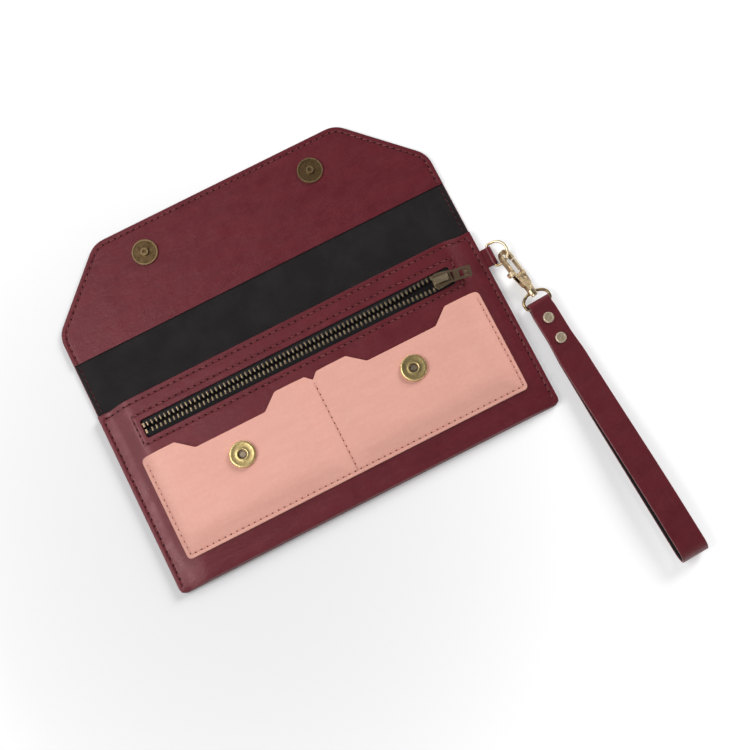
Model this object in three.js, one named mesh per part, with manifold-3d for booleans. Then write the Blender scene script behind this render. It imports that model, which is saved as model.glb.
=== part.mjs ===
// Clasp wallet, lying open on its back: card panel and zip coin pocket on the front,
// bill compartment behind, two magnetic snaps, and a wrist strap on a swivel hook.
// Millimetres. X runs along the width, Y from the bottom fold up to the open flap, Z out of the front.

import * as THREE from 'three';
import { mergeVertices } from 'three/addons/utils/BufferGeometryUtils.js';
import Module from 'manifold-3d';

const wasm = await Module();
wasm.setup();

// Leather and lining
const bodyWidth = 220;
const frontHeight = 103.5;
const foldBand = 8;
const flapLength = 78.5;
const leather = 1.0;
const facingThickness = 1.0;
const facingRise = 22.5;
const facingLap = 7;
const lining = 0.3;
const seamHeight = 3.6;
const crown = 9.8;
const seamMargin = 5;
const sideRise = 13;
const bottomRise = 30;
const bottomShare = 0.3;
const bodyCorner = 3.5;
const flapChamfer = 37.5;
const flapCorner = 14;
const backLap = 3;
const noseWall = 2.2;
const liningBottom = 4;
const clearance = 0.25;
const panelCentre = 55;

// How far cutters run past what they cut, and how deep joined solids reach into each other
const lap = 1;
const bond = 0.1;

// Linings inside the body, as depths below the front's outer face
const coinRoom = 1.4;
const coinPocketSide = 15;
const coinPocketBottom = 20;
const coinPocketDrop = 4.5;
const pocketCorner = 6;
const pocketSeam = 1.0;
const dividerSide = 13;
const dividerBottom = 13;
const dividerCorner = 3;

// Card panel
const panelWidth = 197;
const panelBottom = 14;
const panelDrop = 31.5;
const panelLeather = 0.9;
const cardRoom = 0.8;
const panelSeam = 2.6;
const notchTop = 58;
const notchBottom = 40;
const notchDepth = 7.4;
const notchCorner = 3;
const notchShift = 0.4;
const centreNotch = 3.4;
const centreCorner = 2;
const centreTip = 0.6;
const panelCorner = 3;
const panelSeat = 0.3;

// Snaps
const snapSpread = 49.5;
const snapDrop = 22;
const snapRadius = 7;
const capHeight = 2.0;
const capWall = 0.5;
const snapHole = 2.35;
const studRadius = 2.1;
const studHeight = 1.3;
const studDimple = 1.1;
const maleHeight = 1.2;
const postRadius = 1.6;
const postHeight = 0.7;
const snapPlate = 0.4;
const rimWidth = 0.8;
const rimHeight = 0.4;
const dimpleDepth = 0.6;
const snapSides = 40;

// Zip
const windowWidth = 180;
const windowHeight = 10;
const windowCorner = 1.5;
const zipDrop = 18;
const chainMargin = 1.9;
const toothPitch = 2.48;
const toothLength = 1.25;
const rowGap = 1.2;
const toothReach = 1.4;
const beadWidth = 0.9;
const chainThickness = 2.2;
const tapeThickness = 0.5;
const tapeReach = 11;
const tapeEnd = 1.5;
const tapeBend = 0.2;
const stopLength = 1.2;
const sliderLength = 8.7;
const sliderWidth = 8.6;
const sliderPlate = 0.9;
const sliderYaw = THREE.MathUtils.degToRad(-5);
const sliderPost = 1.6;
const sliderTaper = 0.9;
const sliderFlange = 0.3;
const noseLength = 2.5;
const noseTaper = 1;
const noseCorner = 0.8;
const cheekCorner = 1.5;
const tailCorner = 1.2;
const bridgeWidth = 3.4;
const bridgeHeight = 2.2;
const bridgeWall = 0.7;
const bridgeFoot = 1.0;
const bridgeStart = 0.4;
const bridgeEnd = 0.5;
const pullLength = 19;
const pullWidth = 6.2;
const pullThickness = 0.8;
const pullBar = 1.0;
const pullSlotWidth = 4.4;
const pullSlotLength = 8.4;
const pullSlack = 0.75;
const pullTrim = 0.4;
const pullEyeInset = 2.2;
const pullEyeSide = 1.3;
const pullEyeRadius = 0.6;
const pullCutStart = 6.4;
const pullCutEnd = 4.2;
const pullCutHalf = 1.9;
const pullCorner = 1;
const pullYaw = THREE.MathUtils.degToRad(-4);

// Tab and ring on the right edge
const tabDrop = 17;
const tabWidth = 10;
const tabLeather = 0.8;
const tabReach = 4.4;
const ringWire = 0.75;
const ringHalf = 6.25;
const ringStraight = 3.1;
const ringCorner = 1.4;
const wireSides = 10;
const ringTilt = THREE.MathUtils.degToRad(20);
const ringGrip = THREE.MathUtils.degToRad(-55);

// Swivel hook, measured from the ring wire it hangs on
const hookTilt = THREE.MathUtils.degToRad(9);
const hookRoll = THREE.MathUtils.degToRad(40);
const hookThickness = 2.4;
const hookBar = 1.9;
const hookHalfOpening = 2.6;
const hookTopGap = 2.8;
const hookOpeningDepth = 10.5;
const hookBodyEnd = 21.4;
const hookBodyWidth = 6.4;
const hookNeck = 2.3;
const neckLength = 2.6;
const shoulderLength = 3.4;
const tipDrop = 1.8;
const tipGap = 0.4;
const leverThickness = 0.9;
const leverSlot = 1.5;
const leverPinX = 2.2;
const leverPinDrop = 12.8;
const leverPinRadius = 0.55;
const leverHub = 1.5;
const leverBar = 1.5;
const leverSplit = 4.0;
const gateGapEnd = 3.2;
const leverRoomEnd = 2.4;
const leverRoomTop = 8.0;
const leverInset = 0.2;
const triggerRoot = 0.4;
const triggerHalf = 1.1;
const triggerTip = 0.8;
const barCorner = 0.2;
const tipCorner = 0.3;
const thumbX = -6.0;
const thumbDrop = 9.4;
const thumbRadius = 1.5;
const thumbHalf = 1.1;
const shankRadius = 1.1;
const shankHead = 1.8;
const swivelBoss = 2.3;
const swivelBossRadius = 2.4;
const swivelPlay = 0.3;

// Swivel eye and strap
const eyeWire = 0.85;
const eyeHalf = 7.3;
const eyeBarDrop = 9.0;
const eyeCorner = 1.6;
const eyeSpring = 3.2;
const barPlay = 0.3;
const strapTilt = THREE.MathUtils.degToRad(3.4);
const strapLength = 155;
const strapWidth = 15;
const strapEndWidth = 12;
const strapWiden = 24;
const strapLeather = 0.9;
const strapLining = 0.5;
const strapGap = 0.2;
const widenLength = 6;
const pressPlay = 0.15;
const loopRest = 70;
const pressStart = 5;
const pressEnd = 26;
const loopHeight = 12;
const loopOpenEnd = 130;
const rivetFirst = 8.7;
const rivetPitch = 12.4;
const rivetCap = 3.0;
const rivetPost = 1.2;
const rivetDome = 1.1;
const rivetPlay = 0.2;
const domeShares = [[0.88, 0.5], [0.55, 0.85], [0, 1]];

// Sizes that follow
const halfWidth = bodyWidth / 2;
const foldUp = frontHeight + foldBand;
const flapEnd = foldUp + flapLength;
const facingStart = foldUp + facingRise;
const coinPocketTop = frontHeight - coinPocketDrop;
const panelTop = frontHeight - panelDrop;
const snapUp = panelTop - snapDrop;
const zipUp = frontHeight - zipDrop;
const tabUp = frontHeight - tabDrop;
const coinFloor = leather + clearance + lining + coinRoom;
const dividerDepth = coinFloor + lining + clearance;
const panelFace = panelSeat + cardRoom + panelLeather;
const snapSeat = crown + panelFace;
const flapThickness = leather + facingThickness;
const maleUp = 2 * foldUp - snapUp;
const rowOuter = rowGap / 2 + toothReach + beadWidth;
const toothCount = Math.floor((windowWidth - 2 * chainMargin) / toothPitch);
const rowLength = toothPitch * toothCount;
const tabLoop = ringWire + clearance + tabLeather;
const ringBarX = halfWidth + tabReach;
const strapStack = strapLeather + strapGap + strapLining;
const foldRadius = eyeWire + barPlay + strapStack;
const pressHalf = strapStack + pressPlay;

const colours = {
  maroon: 0x5e242a, blackCloth: 0x242224, pink: 0xe4ac9e, brass: 0xa08746, oldBrass: 0x7d5f41,
  paleBrass: 0xc8a578, tape: 0x2b2829, steel: 0x8d8a84, ferrite: 0x3a3836,
};

function look(colour, roughness, metalness = 0) {
  return new THREE.MeshStandardMaterial({ color: colour, roughness, metalness });
}

// Closed meshes to solids and back

function toSolid(geometry) {
  const bare = geometry.clone();
  bare.deleteAttribute('normal');
  bare.deleteAttribute('uv');
  const merged = mergeVertices(bare, 1e-4);
  return new wasm.Manifold(new wasm.Mesh({
    numProp: 3,
    vertProperties: new Float32Array(merged.attributes.position.array),
    triVerts: new Uint32Array(merged.index.array),
  }));
}

function toGeometry(solid) {
  const mesh = solid.getMesh();
  const geometry = new THREE.BufferGeometry();
  geometry.setAttribute('position', new THREE.BufferAttribute(new Float32Array(mesh.vertProperties), 3));
  geometry.setIndex(new THREE.BufferAttribute(new Uint32Array(mesh.triVerts), 1));
  geometry.computeVertexNormals();
  return geometry;
}

function addPiece(parent, name, solid, material) {
  const mesh = new THREE.Mesh(toGeometry(solid), material);
  mesh.name = name;
  parent.add(mesh);
  return mesh;
}

// Plain solids

function box(x0, x1, y0, y1, z0, z1) {
  const geometry = new THREE.BoxGeometry(x1 - x0, y1 - y0, z1 - z0);
  geometry.translate((x0 + x1) / 2, (y0 + y1) / 2, (z0 + z1) / 2);
  return toSolid(geometry);
}

function plate(shape, z0, z1, curveSegments = 8) {
  const geometry = new THREE.ExtrudeGeometry(shape, { depth: z1 - z0, bevelEnabled: false, curveSegments });
  geometry.translate(0, 0, z0);
  return toSolid(geometry);
}

// The shape is drawn as (y, z) and runs along X
function barAlongX(shape, x0, x1, curveSegments = 8) {
  const geometry = new THREE.ExtrudeGeometry(shape, { depth: x1 - x0, bevelEnabled: false, curveSegments });
  geometry.translate(0, 0, x0);
  const turn = new THREE.Matrix4().makeBasis(
    new THREE.Vector3(0, 1, 0), new THREE.Vector3(0, 0, 1), new THREE.Vector3(1, 0, 0));
  return toSolid(geometry.applyMatrix4(turn));
}

// The shape is drawn as (z, x) and runs along Y
function barAlongY(shape, y0, y1, curveSegments = 8) {
  const geometry = new THREE.ExtrudeGeometry(shape, { depth: y1 - y0, bevelEnabled: false, curveSegments });
  geometry.translate(0, 0, y0);
  const turn = new THREE.Matrix4().makeBasis(
    new THREE.Vector3(0, 0, 1), new THREE.Vector3(1, 0, 0), new THREE.Vector3(0, 1, 0));
  return toSolid(geometry.applyMatrix4(turn));
}

function disc(x, y, radius, z0, z1, sides = 24) {
  const geometry = new THREE.CylinderGeometry(radius, radius, z1 - z0, sides);
  geometry.rotateX(Math.PI / 2);
  geometry.translate(x, y, (z0 + z1) / 2);
  return toSolid(geometry);
}

function rodAlongY(radius, y0, y1, sides = 20) {
  const geometry = new THREE.CylinderGeometry(radius, radius, y1 - y0, sides);
  geometry.translate(0, (y0 + y1) / 2, 0);
  return toSolid(geometry);
}

function roundedRectangle(x0, x1, y0, y1, radius) {
  const shape = new THREE.Shape();
  shape.moveTo(x0 + radius, y0);
  shape.lineTo(x1 - radius, y0);
  shape.absarc(x1 - radius, y0 + radius, radius, -Math.PI / 2, 0, false);
  shape.lineTo(x1, y1 - radius);
  shape.absarc(x1 - radius, y1 - radius, radius, 0, Math.PI / 2, false);
  shape.lineTo(x0 + radius, y1);
  shape.absarc(x0 + radius, y1 - radius, radius, Math.PI / 2, Math.PI, false);
  shape.lineTo(x0, y0 + radius);
  shape.absarc(x0 + radius, y0 + radius, radius, Math.PI, 1.5 * Math.PI, false);
  return shape;
}

// A polygon whose corners are rounded: each corner is [x, y, radius]
function roundedPolygon(corners) {
  const shape = new THREE.Shape();
  corners.forEach(([x, y, radius], i) => {
    const here = new THREE.Vector2(x, y);
    const before = corners.at(i - 1);
    const after = corners[(i + 1) % corners.length];
    const toBefore = new THREE.Vector2(before[0] - x, before[1] - y).normalize();
    const toAfter = new THREE.Vector2(after[0] - x, after[1] - y).normalize();
    const half = Math.acos(THREE.MathUtils.clamp(toBefore.dot(toAfter), -1, 1)) / 2;
    const back = radius / Math.tan(half);
    const start = here.clone().addScaledVector(toBefore, back);
    const end = here.clone().addScaledVector(toAfter, back);
    if (i === 0) shape.moveTo(start.x, start.y);
    else shape.lineTo(start.x, start.y);
    if (radius > 0) shape.quadraticCurveTo(x, y, end.x, end.y);
  });
  shape.closePath();
  return shape;
}

// A round wire along a closed flat path in the XY plane
function wireLoop(path, radius, sides, divisions) {
  const points = path.getPoints(divisions);
  while (points[0].distanceTo(points.at(-1)) < 1e-3) points.pop();
  const spots = points.filter((p, i) => p.distanceTo(points.at(i - 1)) > 1e-3);
  const positions = [];
  spots.forEach((p, i) => {
    const ahead = spots[(i + 1) % spots.length];
    const tangent = ahead.clone().sub(spots.at(i - 1)).normalize();
    for (let k = 0; k < sides; k += 1) {
      const angle = (2 * Math.PI * (k + 0.5)) / sides;
      const out = radius * Math.cos(angle);
      positions.push(p.x + tangent.y * out, p.y - tangent.x * out, radius * Math.sin(angle));
    }
  });
  const index = [];
  for (let i = 0; i < spots.length; i += 1) {
    const next = (i + 1) % spots.length;
    for (let k = 0; k < sides; k += 1) {
      const kk = (k + 1) % sides;
      const a = i * sides + k;
      const b = next * sides + k;
      const c = next * sides + kk;
      const d = i * sides + kk;
      index.push(a, b, d, b, c, d);
    }
  }
  const geometry = new THREE.BufferGeometry();
  geometry.setAttribute('position', new THREE.Float32BufferAttribute(positions, 3));
  geometry.setIndex(index);
  return toSolid(geometry);
}

// The body's pillow: heights on one grid, so that every layer follows the front

function smooth(t) {
  const c = THREE.MathUtils.clamp(t, 0, 1);
  return c * c * (3 - 2 * c);
}

function frontTop(x, y) {
  const side = smooth((halfWidth - Math.abs(x) - seamMargin) / sideRise);
  const rise = bottomShare + (1 - bottomShare) * smooth(y / bottomRise);
  return seamHeight + (crown - seamHeight) * side * rise;
}

function stationsAcross() {
  const outer = [halfWidth, halfWidth - seamMargin];
  const steps = 6;
  for (let i = 1; i <= steps; i += 1) outer.push(halfWidth - seamMargin - (sideRise * i) / steps);
  return [...outer.map((x) => -x), 0, ...outer.reverse()];
}

function stationsUp(end) {
  const rise = [0.15, 0.6, 1.4, 2.6, 4.5, 8, 12, 16, 20, 25].map((y) => (y * bottomRise) / 30);
  return [...rise, bottomRise, end];
}

function layer(low, high, end = frontHeight) {
  const xs = stationsAcross();
  const ys = stationsUp(end);
  const positions = [];
  for (const surface of [low, high]) {
    for (const y of ys) for (const x of xs) positions.push(x, y, surface(x, y));
  }
  const nx = xs.length;
  const ny = ys.length;
  const index = [];
  const quad = (a, b, c, d) => index.push(a, b, c, a, c, d);
  const at = (i, j, top) => top * nx * ny + j * nx + i;
  for (let j = 0; j < ny - 1; j += 1) {
    for (let i = 0; i < nx - 1; i += 1) {
      quad(at(i, j, 1), at(i + 1, j, 1), at(i + 1, j + 1, 1), at(i, j + 1, 1));
      index.push(at(i, j, 0), at(i + 1, j + 1, 0), at(i + 1, j, 0));
      index.push(at(i, j, 0), at(i, j + 1, 0), at(i + 1, j + 1, 0));
    }
  }
  for (let i = 0; i < nx - 1; i += 1) {
    quad(at(i, 0, 0), at(i + 1, 0, 0), at(i + 1, 0, 1), at(i, 0, 1));
    quad(at(i + 1, ny - 1, 0), at(i, ny - 1, 0), at(i, ny - 1, 1), at(i + 1, ny - 1, 1));
  }
  for (let j = 0; j < ny - 1; j += 1) {
    quad(at(0, j + 1, 0), at(0, j, 0), at(0, j, 1), at(0, j + 1, 1));
    quad(at(nx - 1, j, 0), at(nx - 1, j + 1, 0), at(nx - 1, j + 1, 1), at(nx - 1, j, 1));
  }
  const geometry = new THREE.BufferGeometry();
  geometry.setAttribute('position', new THREE.Float32BufferAttribute(positions, 3));
  geometry.setIndex(index);
  return toSolid(geometry);
}

// A layer between two depths below the front's outer face
function layerBelow(upper, lower) {
  return layer((x, y) => frontTop(x, y) - lower, (x, y) => frontTop(x, y) - upper);
}

// How far the bottom fold's round nose pulls each face in
function noseDrop(x, y) {
  const r = frontTop(x, y) / 2;
  return y >= r ? 0 : r - Math.sqrt(r * r - (r - y) * (r - y));
}

// Leather

function outerShell() {
  const pillow = layer((x, y) => noseDrop(x, y), (x, y) => frontTop(x, y) - noseDrop(x, y));
  const reach = foldUp - clearance / 2;
  const back = box(-halfWidth, halfWidth, frontHeight - backLap, reach, 0, leather);
  const inner = halfWidth - seamMargin;
  const inside = layer(() => leather, (x, y) => frontTop(x, y) - leather, frontHeight + lap)
    .intersect(box(-inner, inner, noseWall, frontHeight + 2 * lap, 0, crown));
  const outline = roundedPolygon([
    [-halfWidth, 0, bodyCorner], [halfWidth, 0, bodyCorner], [halfWidth, reach, 0], [-halfWidth, reach, 0]]);
  const opening = roundedRectangle(-windowWidth / 2, windowWidth / 2,
    zipUp - windowHeight / 2, zipUp + windowHeight / 2, windowCorner);
  const tabSlot = box(halfWidth - seamMargin, halfWidth + lap, tabUp - tabWidth / 2 - clearance,
    tabUp + tabWidth / 2 + clearance, leather, leather + 2 * tabLeather);
  return pillow.add(back).intersect(plate(outline, -lap, crown + lap)).subtract(inside)
    .subtract(plate(opening, crown - 2 * leather, crown + lap)).subtract(tabSlot);
}

function flapOutline(start) {
  return roundedPolygon([
    [-halfWidth, start, 0], [halfWidth, start, 0],
    [halfWidth, flapEnd - flapChamfer, flapCorner], [halfWidth - flapChamfer, flapEnd, flapCorner],
    [flapChamfer - halfWidth, flapEnd, flapCorner], [-halfWidth, flapEnd - flapChamfer, flapCorner]]);
}

function flapOuter() {
  return plate(flapOutline(foldUp + clearance / 2), 0, leather);
}

function flapFacing() {
  const side = halfWidth + lap;
  const liningRoom = box(-side, side, facingStart - lap, facingStart + facingLap + clearance,
    leather - lap, leather + lining);
  return plate(flapOutline(facingStart), leather, flapThickness).subtract(liningRoom);
}

function backLining() {
  const inner = halfWidth - seamMargin - clearance;
  const mouth = frontHeight + clearance;
  const inBody = box(-inner, inner, liningBottom, mouth + lap, leather, leather + lining);
  const band = box(-halfWidth, halfWidth, mouth, foldUp - clearance / 2, leather, leather + lining);
  return inBody.add(band);
}

function flapLining() {
  const start = foldUp + clearance / 2;
  return box(-halfWidth, halfWidth, start, facingStart + facingLap, leather, leather + lining);
}

function coinPocket() {
  const outer = roundedRectangle(coinPocketSide - halfWidth, halfWidth - coinPocketSide,
    coinPocketBottom, coinPocketTop, pocketCorner);
  const innerSide = halfWidth - coinPocketSide - pocketSeam;
  const inner = roundedRectangle(-innerSide, innerSide,
    coinPocketBottom + pocketSeam, coinPocketTop - pocketSeam, pocketCorner - pocketSeam);
  const top = leather + clearance;
  const bag = layerBelow(top, coinFloor + lining).intersect(plate(outer, 0, crown));
  const room = layerBelow(top + lining, coinFloor).intersect(plate(inner, 0, crown));
  const mouthX = windowWidth / 2 + tapeEnd + clearance;
  const mouth = box(-mouthX, mouthX, zipUp - tapeReach - clearance, zipUp + tapeReach + clearance,
    crown - coinFloor + coinRoom / 2, crown);
  return bag.subtract(room).subtract(mouth);
}

function billDivider() {
  const side = halfWidth - dividerSide;
  const outline = roundedRectangle(-side, side, dividerBottom, frontHeight, dividerCorner);
  return layerBelow(dividerDepth, dividerDepth + lining).intersect(plate(outline, 0, crown));
}

// One half of the card panel's top edge, from its centre out to its corner
function panelOutline() {
  const half = panelWidth / 2;
  const centre = half / 2 + notchShift;
  const right = [
    [0, panelTop - centreNotch, centreTip], [centreNotch, panelTop, centreCorner],
    [centre - notchTop / 2, panelTop, notchCorner],
    [centre - notchBottom / 2, panelTop - notchDepth, notchCorner],
    [centre + notchBottom / 2, panelTop - notchDepth, notchCorner],
    [centre + notchTop / 2, panelTop, notchCorner],
    [half, panelTop, panelCorner]];
  const left = right.slice(1).map(([x, y, r]) => [-x, y, r]);
  return roundedPolygon([...left.reverse(), ...right,
    [half, panelBottom, panelCorner], [-half, panelBottom, panelCorner]].reverse());
}

function cardPanel() {
  const half = panelWidth / 2;
  const top = crown + panelFace + lap;
  const leatherLayer = layerBelow(-panelFace, -panelSeat).intersect(plate(panelOutline(), 0, top));
  const room = layerBelow(-(panelSeat + cardRoom), 0);
  const left = box(panelSeam - half, -panelSeam / 2, panelBottom + panelSeam, panelTop + lap, 0, top);
  const right = box(panelSeam / 2, half - panelSeam, panelBottom + panelSeam, panelTop + lap, 0, top);
  return leatherLayer.subtract(room.intersect(left.add(right)));
}

// Snaps

function snapCap(x) {
  const shell = disc(x, snapUp, snapRadius, snapSeat, snapSeat + capHeight, snapSides);
  const hollow = disc(x, snapUp, snapRadius - capWall, snapSeat - lap, snapSeat + capHeight - capWall,
    snapSides);
  const hole = disc(x, snapUp, snapHole, snapSeat - lap, snapSeat + capHeight + lap);
  return shell.subtract(hollow).subtract(hole);
}

function snapPost(x) {
  const base = disc(x, snapUp, snapRadius - capWall - clearance, snapSeat, snapSeat + snapPlate, snapSides);
  return base.add(disc(x, snapUp, postRadius, snapSeat, snapSeat + postHeight));
}

function snapMagnet(x) {
  const low = snapSeat + snapPlate;
  const ring = disc(x, snapUp, snapRadius - capWall - clearance, low, snapSeat + capHeight - capWall,
    snapSides);
  return ring.subtract(disc(x, snapUp, snapHole + clearance, low - lap, snapSeat + capHeight));
}

function snapStud(x) {
  const face = flapThickness + maleHeight;
  const plateTop = face - rimHeight;
  const plain = disc(x, maleUp, snapRadius, flapThickness, plateTop, snapSides);
  const rim = disc(x, maleUp, snapRadius, plateTop - bond, face, snapSides)
    .subtract(disc(x, maleUp, snapRadius - rimWidth, plateTop, face + lap, snapSides));
  const stud = disc(x, maleUp, studRadius, plateTop - bond, face + studHeight);
  const dimple = disc(x, maleUp, studDimple, face + studHeight - dimpleDepth, face + studHeight + lap);
  return plain.add(rim).add(stud).subtract(dimple);
}

// Zip

function toothRow(side) {
  const shape = new THREE.Shape();
  const start = -rowLength / 2 + (side > 0 ? 0 : toothPitch / 2);
  const tip = rowGap / 2;
  const root = tip + toothReach;
  const count = side > 0 ? toothCount : toothCount - 1;
  shape.moveTo(-rowLength / 2, root + beadWidth);
  shape.lineTo(-rowLength / 2, root);
  for (let i = 0; i < count; i += 1) {
    const x = start + i * toothPitch + (toothPitch - toothLength) / 2;
    shape.lineTo(x, root);
    shape.lineTo(x, tip);
    shape.lineTo(x + toothLength, tip);
    shape.lineTo(x + toothLength, root);
  }
  shape.lineTo(rowLength / 2, root);
  shape.lineTo(rowLength / 2, root + beadWidth);
  shape.closePath();
  const row = plate(shape, crown - chainThickness / 2, crown + chainThickness / 2);
  const turned = side > 0 ? row : row.mirror([0, 1, 0]);
  return turned.translate([0, zipUp, 0]);
}

// The tape bows up from behind the leather to the bead it carries
function zipTape(side) {
  const half = tapeThickness / 2;
  const behind = leather + clearance + half;
  const edge = windowHeight / 2 - tapeBend;
  const shape = new THREE.Shape();
  shape.moveTo(rowOuter, -half);
  shape.lineTo(edge, -behind - half);
  shape.lineTo(tapeReach, -behind - half);
  shape.lineTo(tapeReach, -behind + half);
  shape.lineTo(edge, -behind + half);
  shape.lineTo(rowOuter, half);
  shape.closePath();
  const bowed = windowWidth / 2 - windowCorner;
  const reach = windowWidth / 2 + tapeEnd;
  const tape = barAlongX(shape, -bowed, bowed)
    .add(box(-reach, reach, edge, tapeReach, -behind - half, -behind + half));
  const turned = side > 0 ? tape : tape.mirror([0, 1, 0]);
  return turned.translate([0, zipUp, crown]);
}

function topStop(side) {
  const x = -rowLength / 2 - clearance;
  const low = rowGap / 2;
  const stop = box(x - stopLength, x, low, rowOuter, -chainThickness / 2, chainThickness / 2);
  const turned = side > 0 ? stop : stop.mirror([0, 1, 0]);
  return turned.translate([0, zipUp, crown]);
}

function bottomStop() {
  const x = rowLength / 2 + clearance;
  return box(x, x + stopLength, -rowOuter, rowOuter, -chainThickness / 2, chainThickness / 2)
    .translate([0, zipUp, crown]);
}

// The slider's nose, its wide mouth, faces -X; its own origin is its centre in the chain's middle plane
function sliderBody() {
  const half = sliderLength / 2;
  const wing = chainThickness / 2 + clearance;
  const wide = sliderWidth / 2;
  const narrow = wide - sliderTaper;
  const lowerWide = rowOuter + sliderFlange;
  const wingShape = (w, n) => roundedPolygon([
    [-half, noseTaper - w, noseCorner], [noseLength - half, -w, cheekCorner], [half, -n, tailCorner],
    [half, n, tailCorner], [noseLength - half, w, cheekCorner], [-half, w - noseTaper, noseCorner]]);
  const upper = plate(wingShape(wide, narrow), wing, wing + sliderPlate, 5);
  const lower = plate(wingShape(lowerWide, lowerWide - sliderFlange), -wing - sliderPlate, -wing, 5);
  const post = disc(sliderPost - half, 0, rowGap / 2 - clearance, -wing - bond, wing + bond, 10);
  const top = wing + sliderPlate;
  const x0 = bridgeStart - half;
  const x1 = half - bridgeEnd;
  const bridge = box(x0, x1, -bridgeWidth / 2, bridgeWidth / 2, top - bond, top + bridgeHeight);
  const tunnel = box(x0 + bridgeFoot, x1 - bridgeFoot, -bridgeWidth, bridgeWidth,
    top, top + bridgeHeight - bridgeWall);
  return upper.add(lower).add(post).add(bridge.subtract(tunnel));
}

function pullTab() {
  const half = pullThickness / 2;
  const start = -pullBar / 2;
  const outline = roundedRectangle(start, start + pullLength, -pullWidth / 2, pullWidth / 2, pullCorner);
  const slot = roundedRectangle(pullBar / 2, pullBar / 2 + pullSlotLength,
    -pullSlotWidth / 2, pullSlotWidth / 2, pullEyeRadius);
  const barTrim = bridgeWidth / 2 + pullTrim;
  const end = start + pullLength;
  const eyeX = end - pullEyeInset;
  const eyes = [-1, 1].map((side) => disc(eyeX, side * pullEyeSide, pullEyeRadius, -lap, lap, 12));
  const cut = roundedRectangle(end - pullCutStart, end - pullCutEnd,
    -pullCutHalf, pullCutHalf, pullEyeRadius);
  let tab = plate(outline, -half, half, 4)
    .subtract(plate(slot, -lap, lap, 4)).subtract(plate(cut, -lap, lap, 4));
  eyes.forEach((eye) => { tab = tab.subtract(eye); });
  return tab.subtract(box(start - lap, start + bond, -barTrim, barTrim, -lap, lap));
}

// Tab and D-ring

function ringTab() {
  const top = leather + 2 * tabLeather;
  const x0 = halfWidth - seamMargin + clearance;
  const strip = box(x0, ringBarX, tabUp - tabWidth / 2, tabUp + tabWidth / 2, leather, top);
  const around = (radius) => {
    const round = new THREE.Shape();
    round.absarc(tabLoop, ringBarX, radius, 0, 2 * Math.PI, false);
    return round;
  };
  const ends = [tabUp - tabWidth / 2, tabUp + tabWidth / 2];
  const loop = barAlongY(around(tabLoop), ends[0], ends[1], 12);
  const bore = barAlongY(around(ringWire + clearance), ends[0] - lap, ends[1] + lap, 10);
  return strip.add(loop).subtract(bore);
}

function dRing() {
  const h = ringHalf;
  const c = ringCorner;
  const path = new THREE.Path();
  path.moveTo(c, -h);
  path.lineTo(ringStraight, -h);
  path.absarc(ringStraight, 0, h, -Math.PI / 2, Math.PI / 2, false);
  path.lineTo(c, h);
  path.absarc(c, h - c, c, Math.PI / 2, Math.PI, false);
  path.lineTo(0, c - h);
  path.absarc(c, c - h, c, Math.PI, 1.5 * Math.PI, false);
  return wireLoop(path, ringWire, wireSides, 10);
}

// Hook, drawn with its long axis along Y and the ring wire's centre at the origin

function hookOutline() {
  const outer = hookHalfOpening + hookBar;
  const centre = hookTopGap - hookHalfOpening;
  const shoulder = -hookOpeningDepth - lap;
  const shape = new THREE.Shape();
  shape.moveTo(-outer, shoulder);
  shape.lineTo(-hookBodyWidth / 2, shoulderLength - hookBodyEnd);
  shape.lineTo(-hookNeck, neckLength - hookBodyEnd);
  shape.lineTo(-hookNeck, -hookBodyEnd);
  shape.lineTo(hookNeck, -hookBodyEnd);
  shape.lineTo(hookNeck, neckLength - hookBodyEnd);
  shape.lineTo(hookBodyWidth / 2, shoulderLength - hookBodyEnd);
  shape.lineTo(outer, shoulder);
  shape.lineTo(outer, centre);
  shape.absarc(0, centre, outer, 0, Math.PI, false);
  shape.closePath();
  return shape;
}

function hookOpening() {
  const centre = hookTopGap - hookHalfOpening;
  const shape = new THREE.Shape();
  shape.moveTo(-hookHalfOpening, -hookOpeningDepth);
  shape.lineTo(hookHalfOpening, -hookOpeningDepth);
  shape.lineTo(hookHalfOpening, centre);
  shape.absarc(0, centre, hookHalfOpening, 0, Math.PI, false);
  shape.closePath();
  return shape;
}

function hookBody() {
  const half = hookThickness / 2;
  const outer = hookHalfOpening + hookBar;
  const past = half + lap;
  const gateGap = box(hookHalfOpening - leverInset, outer + lap,
    gateGapEnd - leverPinDrop, -tipDrop, -past, past);
  const leverRoom = box(-outer - lap, outer + lap, -leverPinDrop - leverRoomEnd, -leverRoomTop,
    -leverSlot / 2, leverSlot / 2);
  const pinHole = disc(leverPinX, -leverPinDrop, leverPinRadius + clearance, -past, past, 14);
  const headTop = -hookBodyEnd - swivelBoss - 2 * clearance;
  const shank = rodAlongY(shankRadius, headTop - bond, lap - hookBodyEnd, 18);
  const head = rodAlongY(shankHead, headTop - lap, headTop, 18);
  return plate(hookOutline(), -half, half, 12).subtract(plate(hookOpening(), -past, past, 10))
    .subtract(gateGap).subtract(leverRoom).subtract(pinHole).add(shank).add(head);
}

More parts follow.
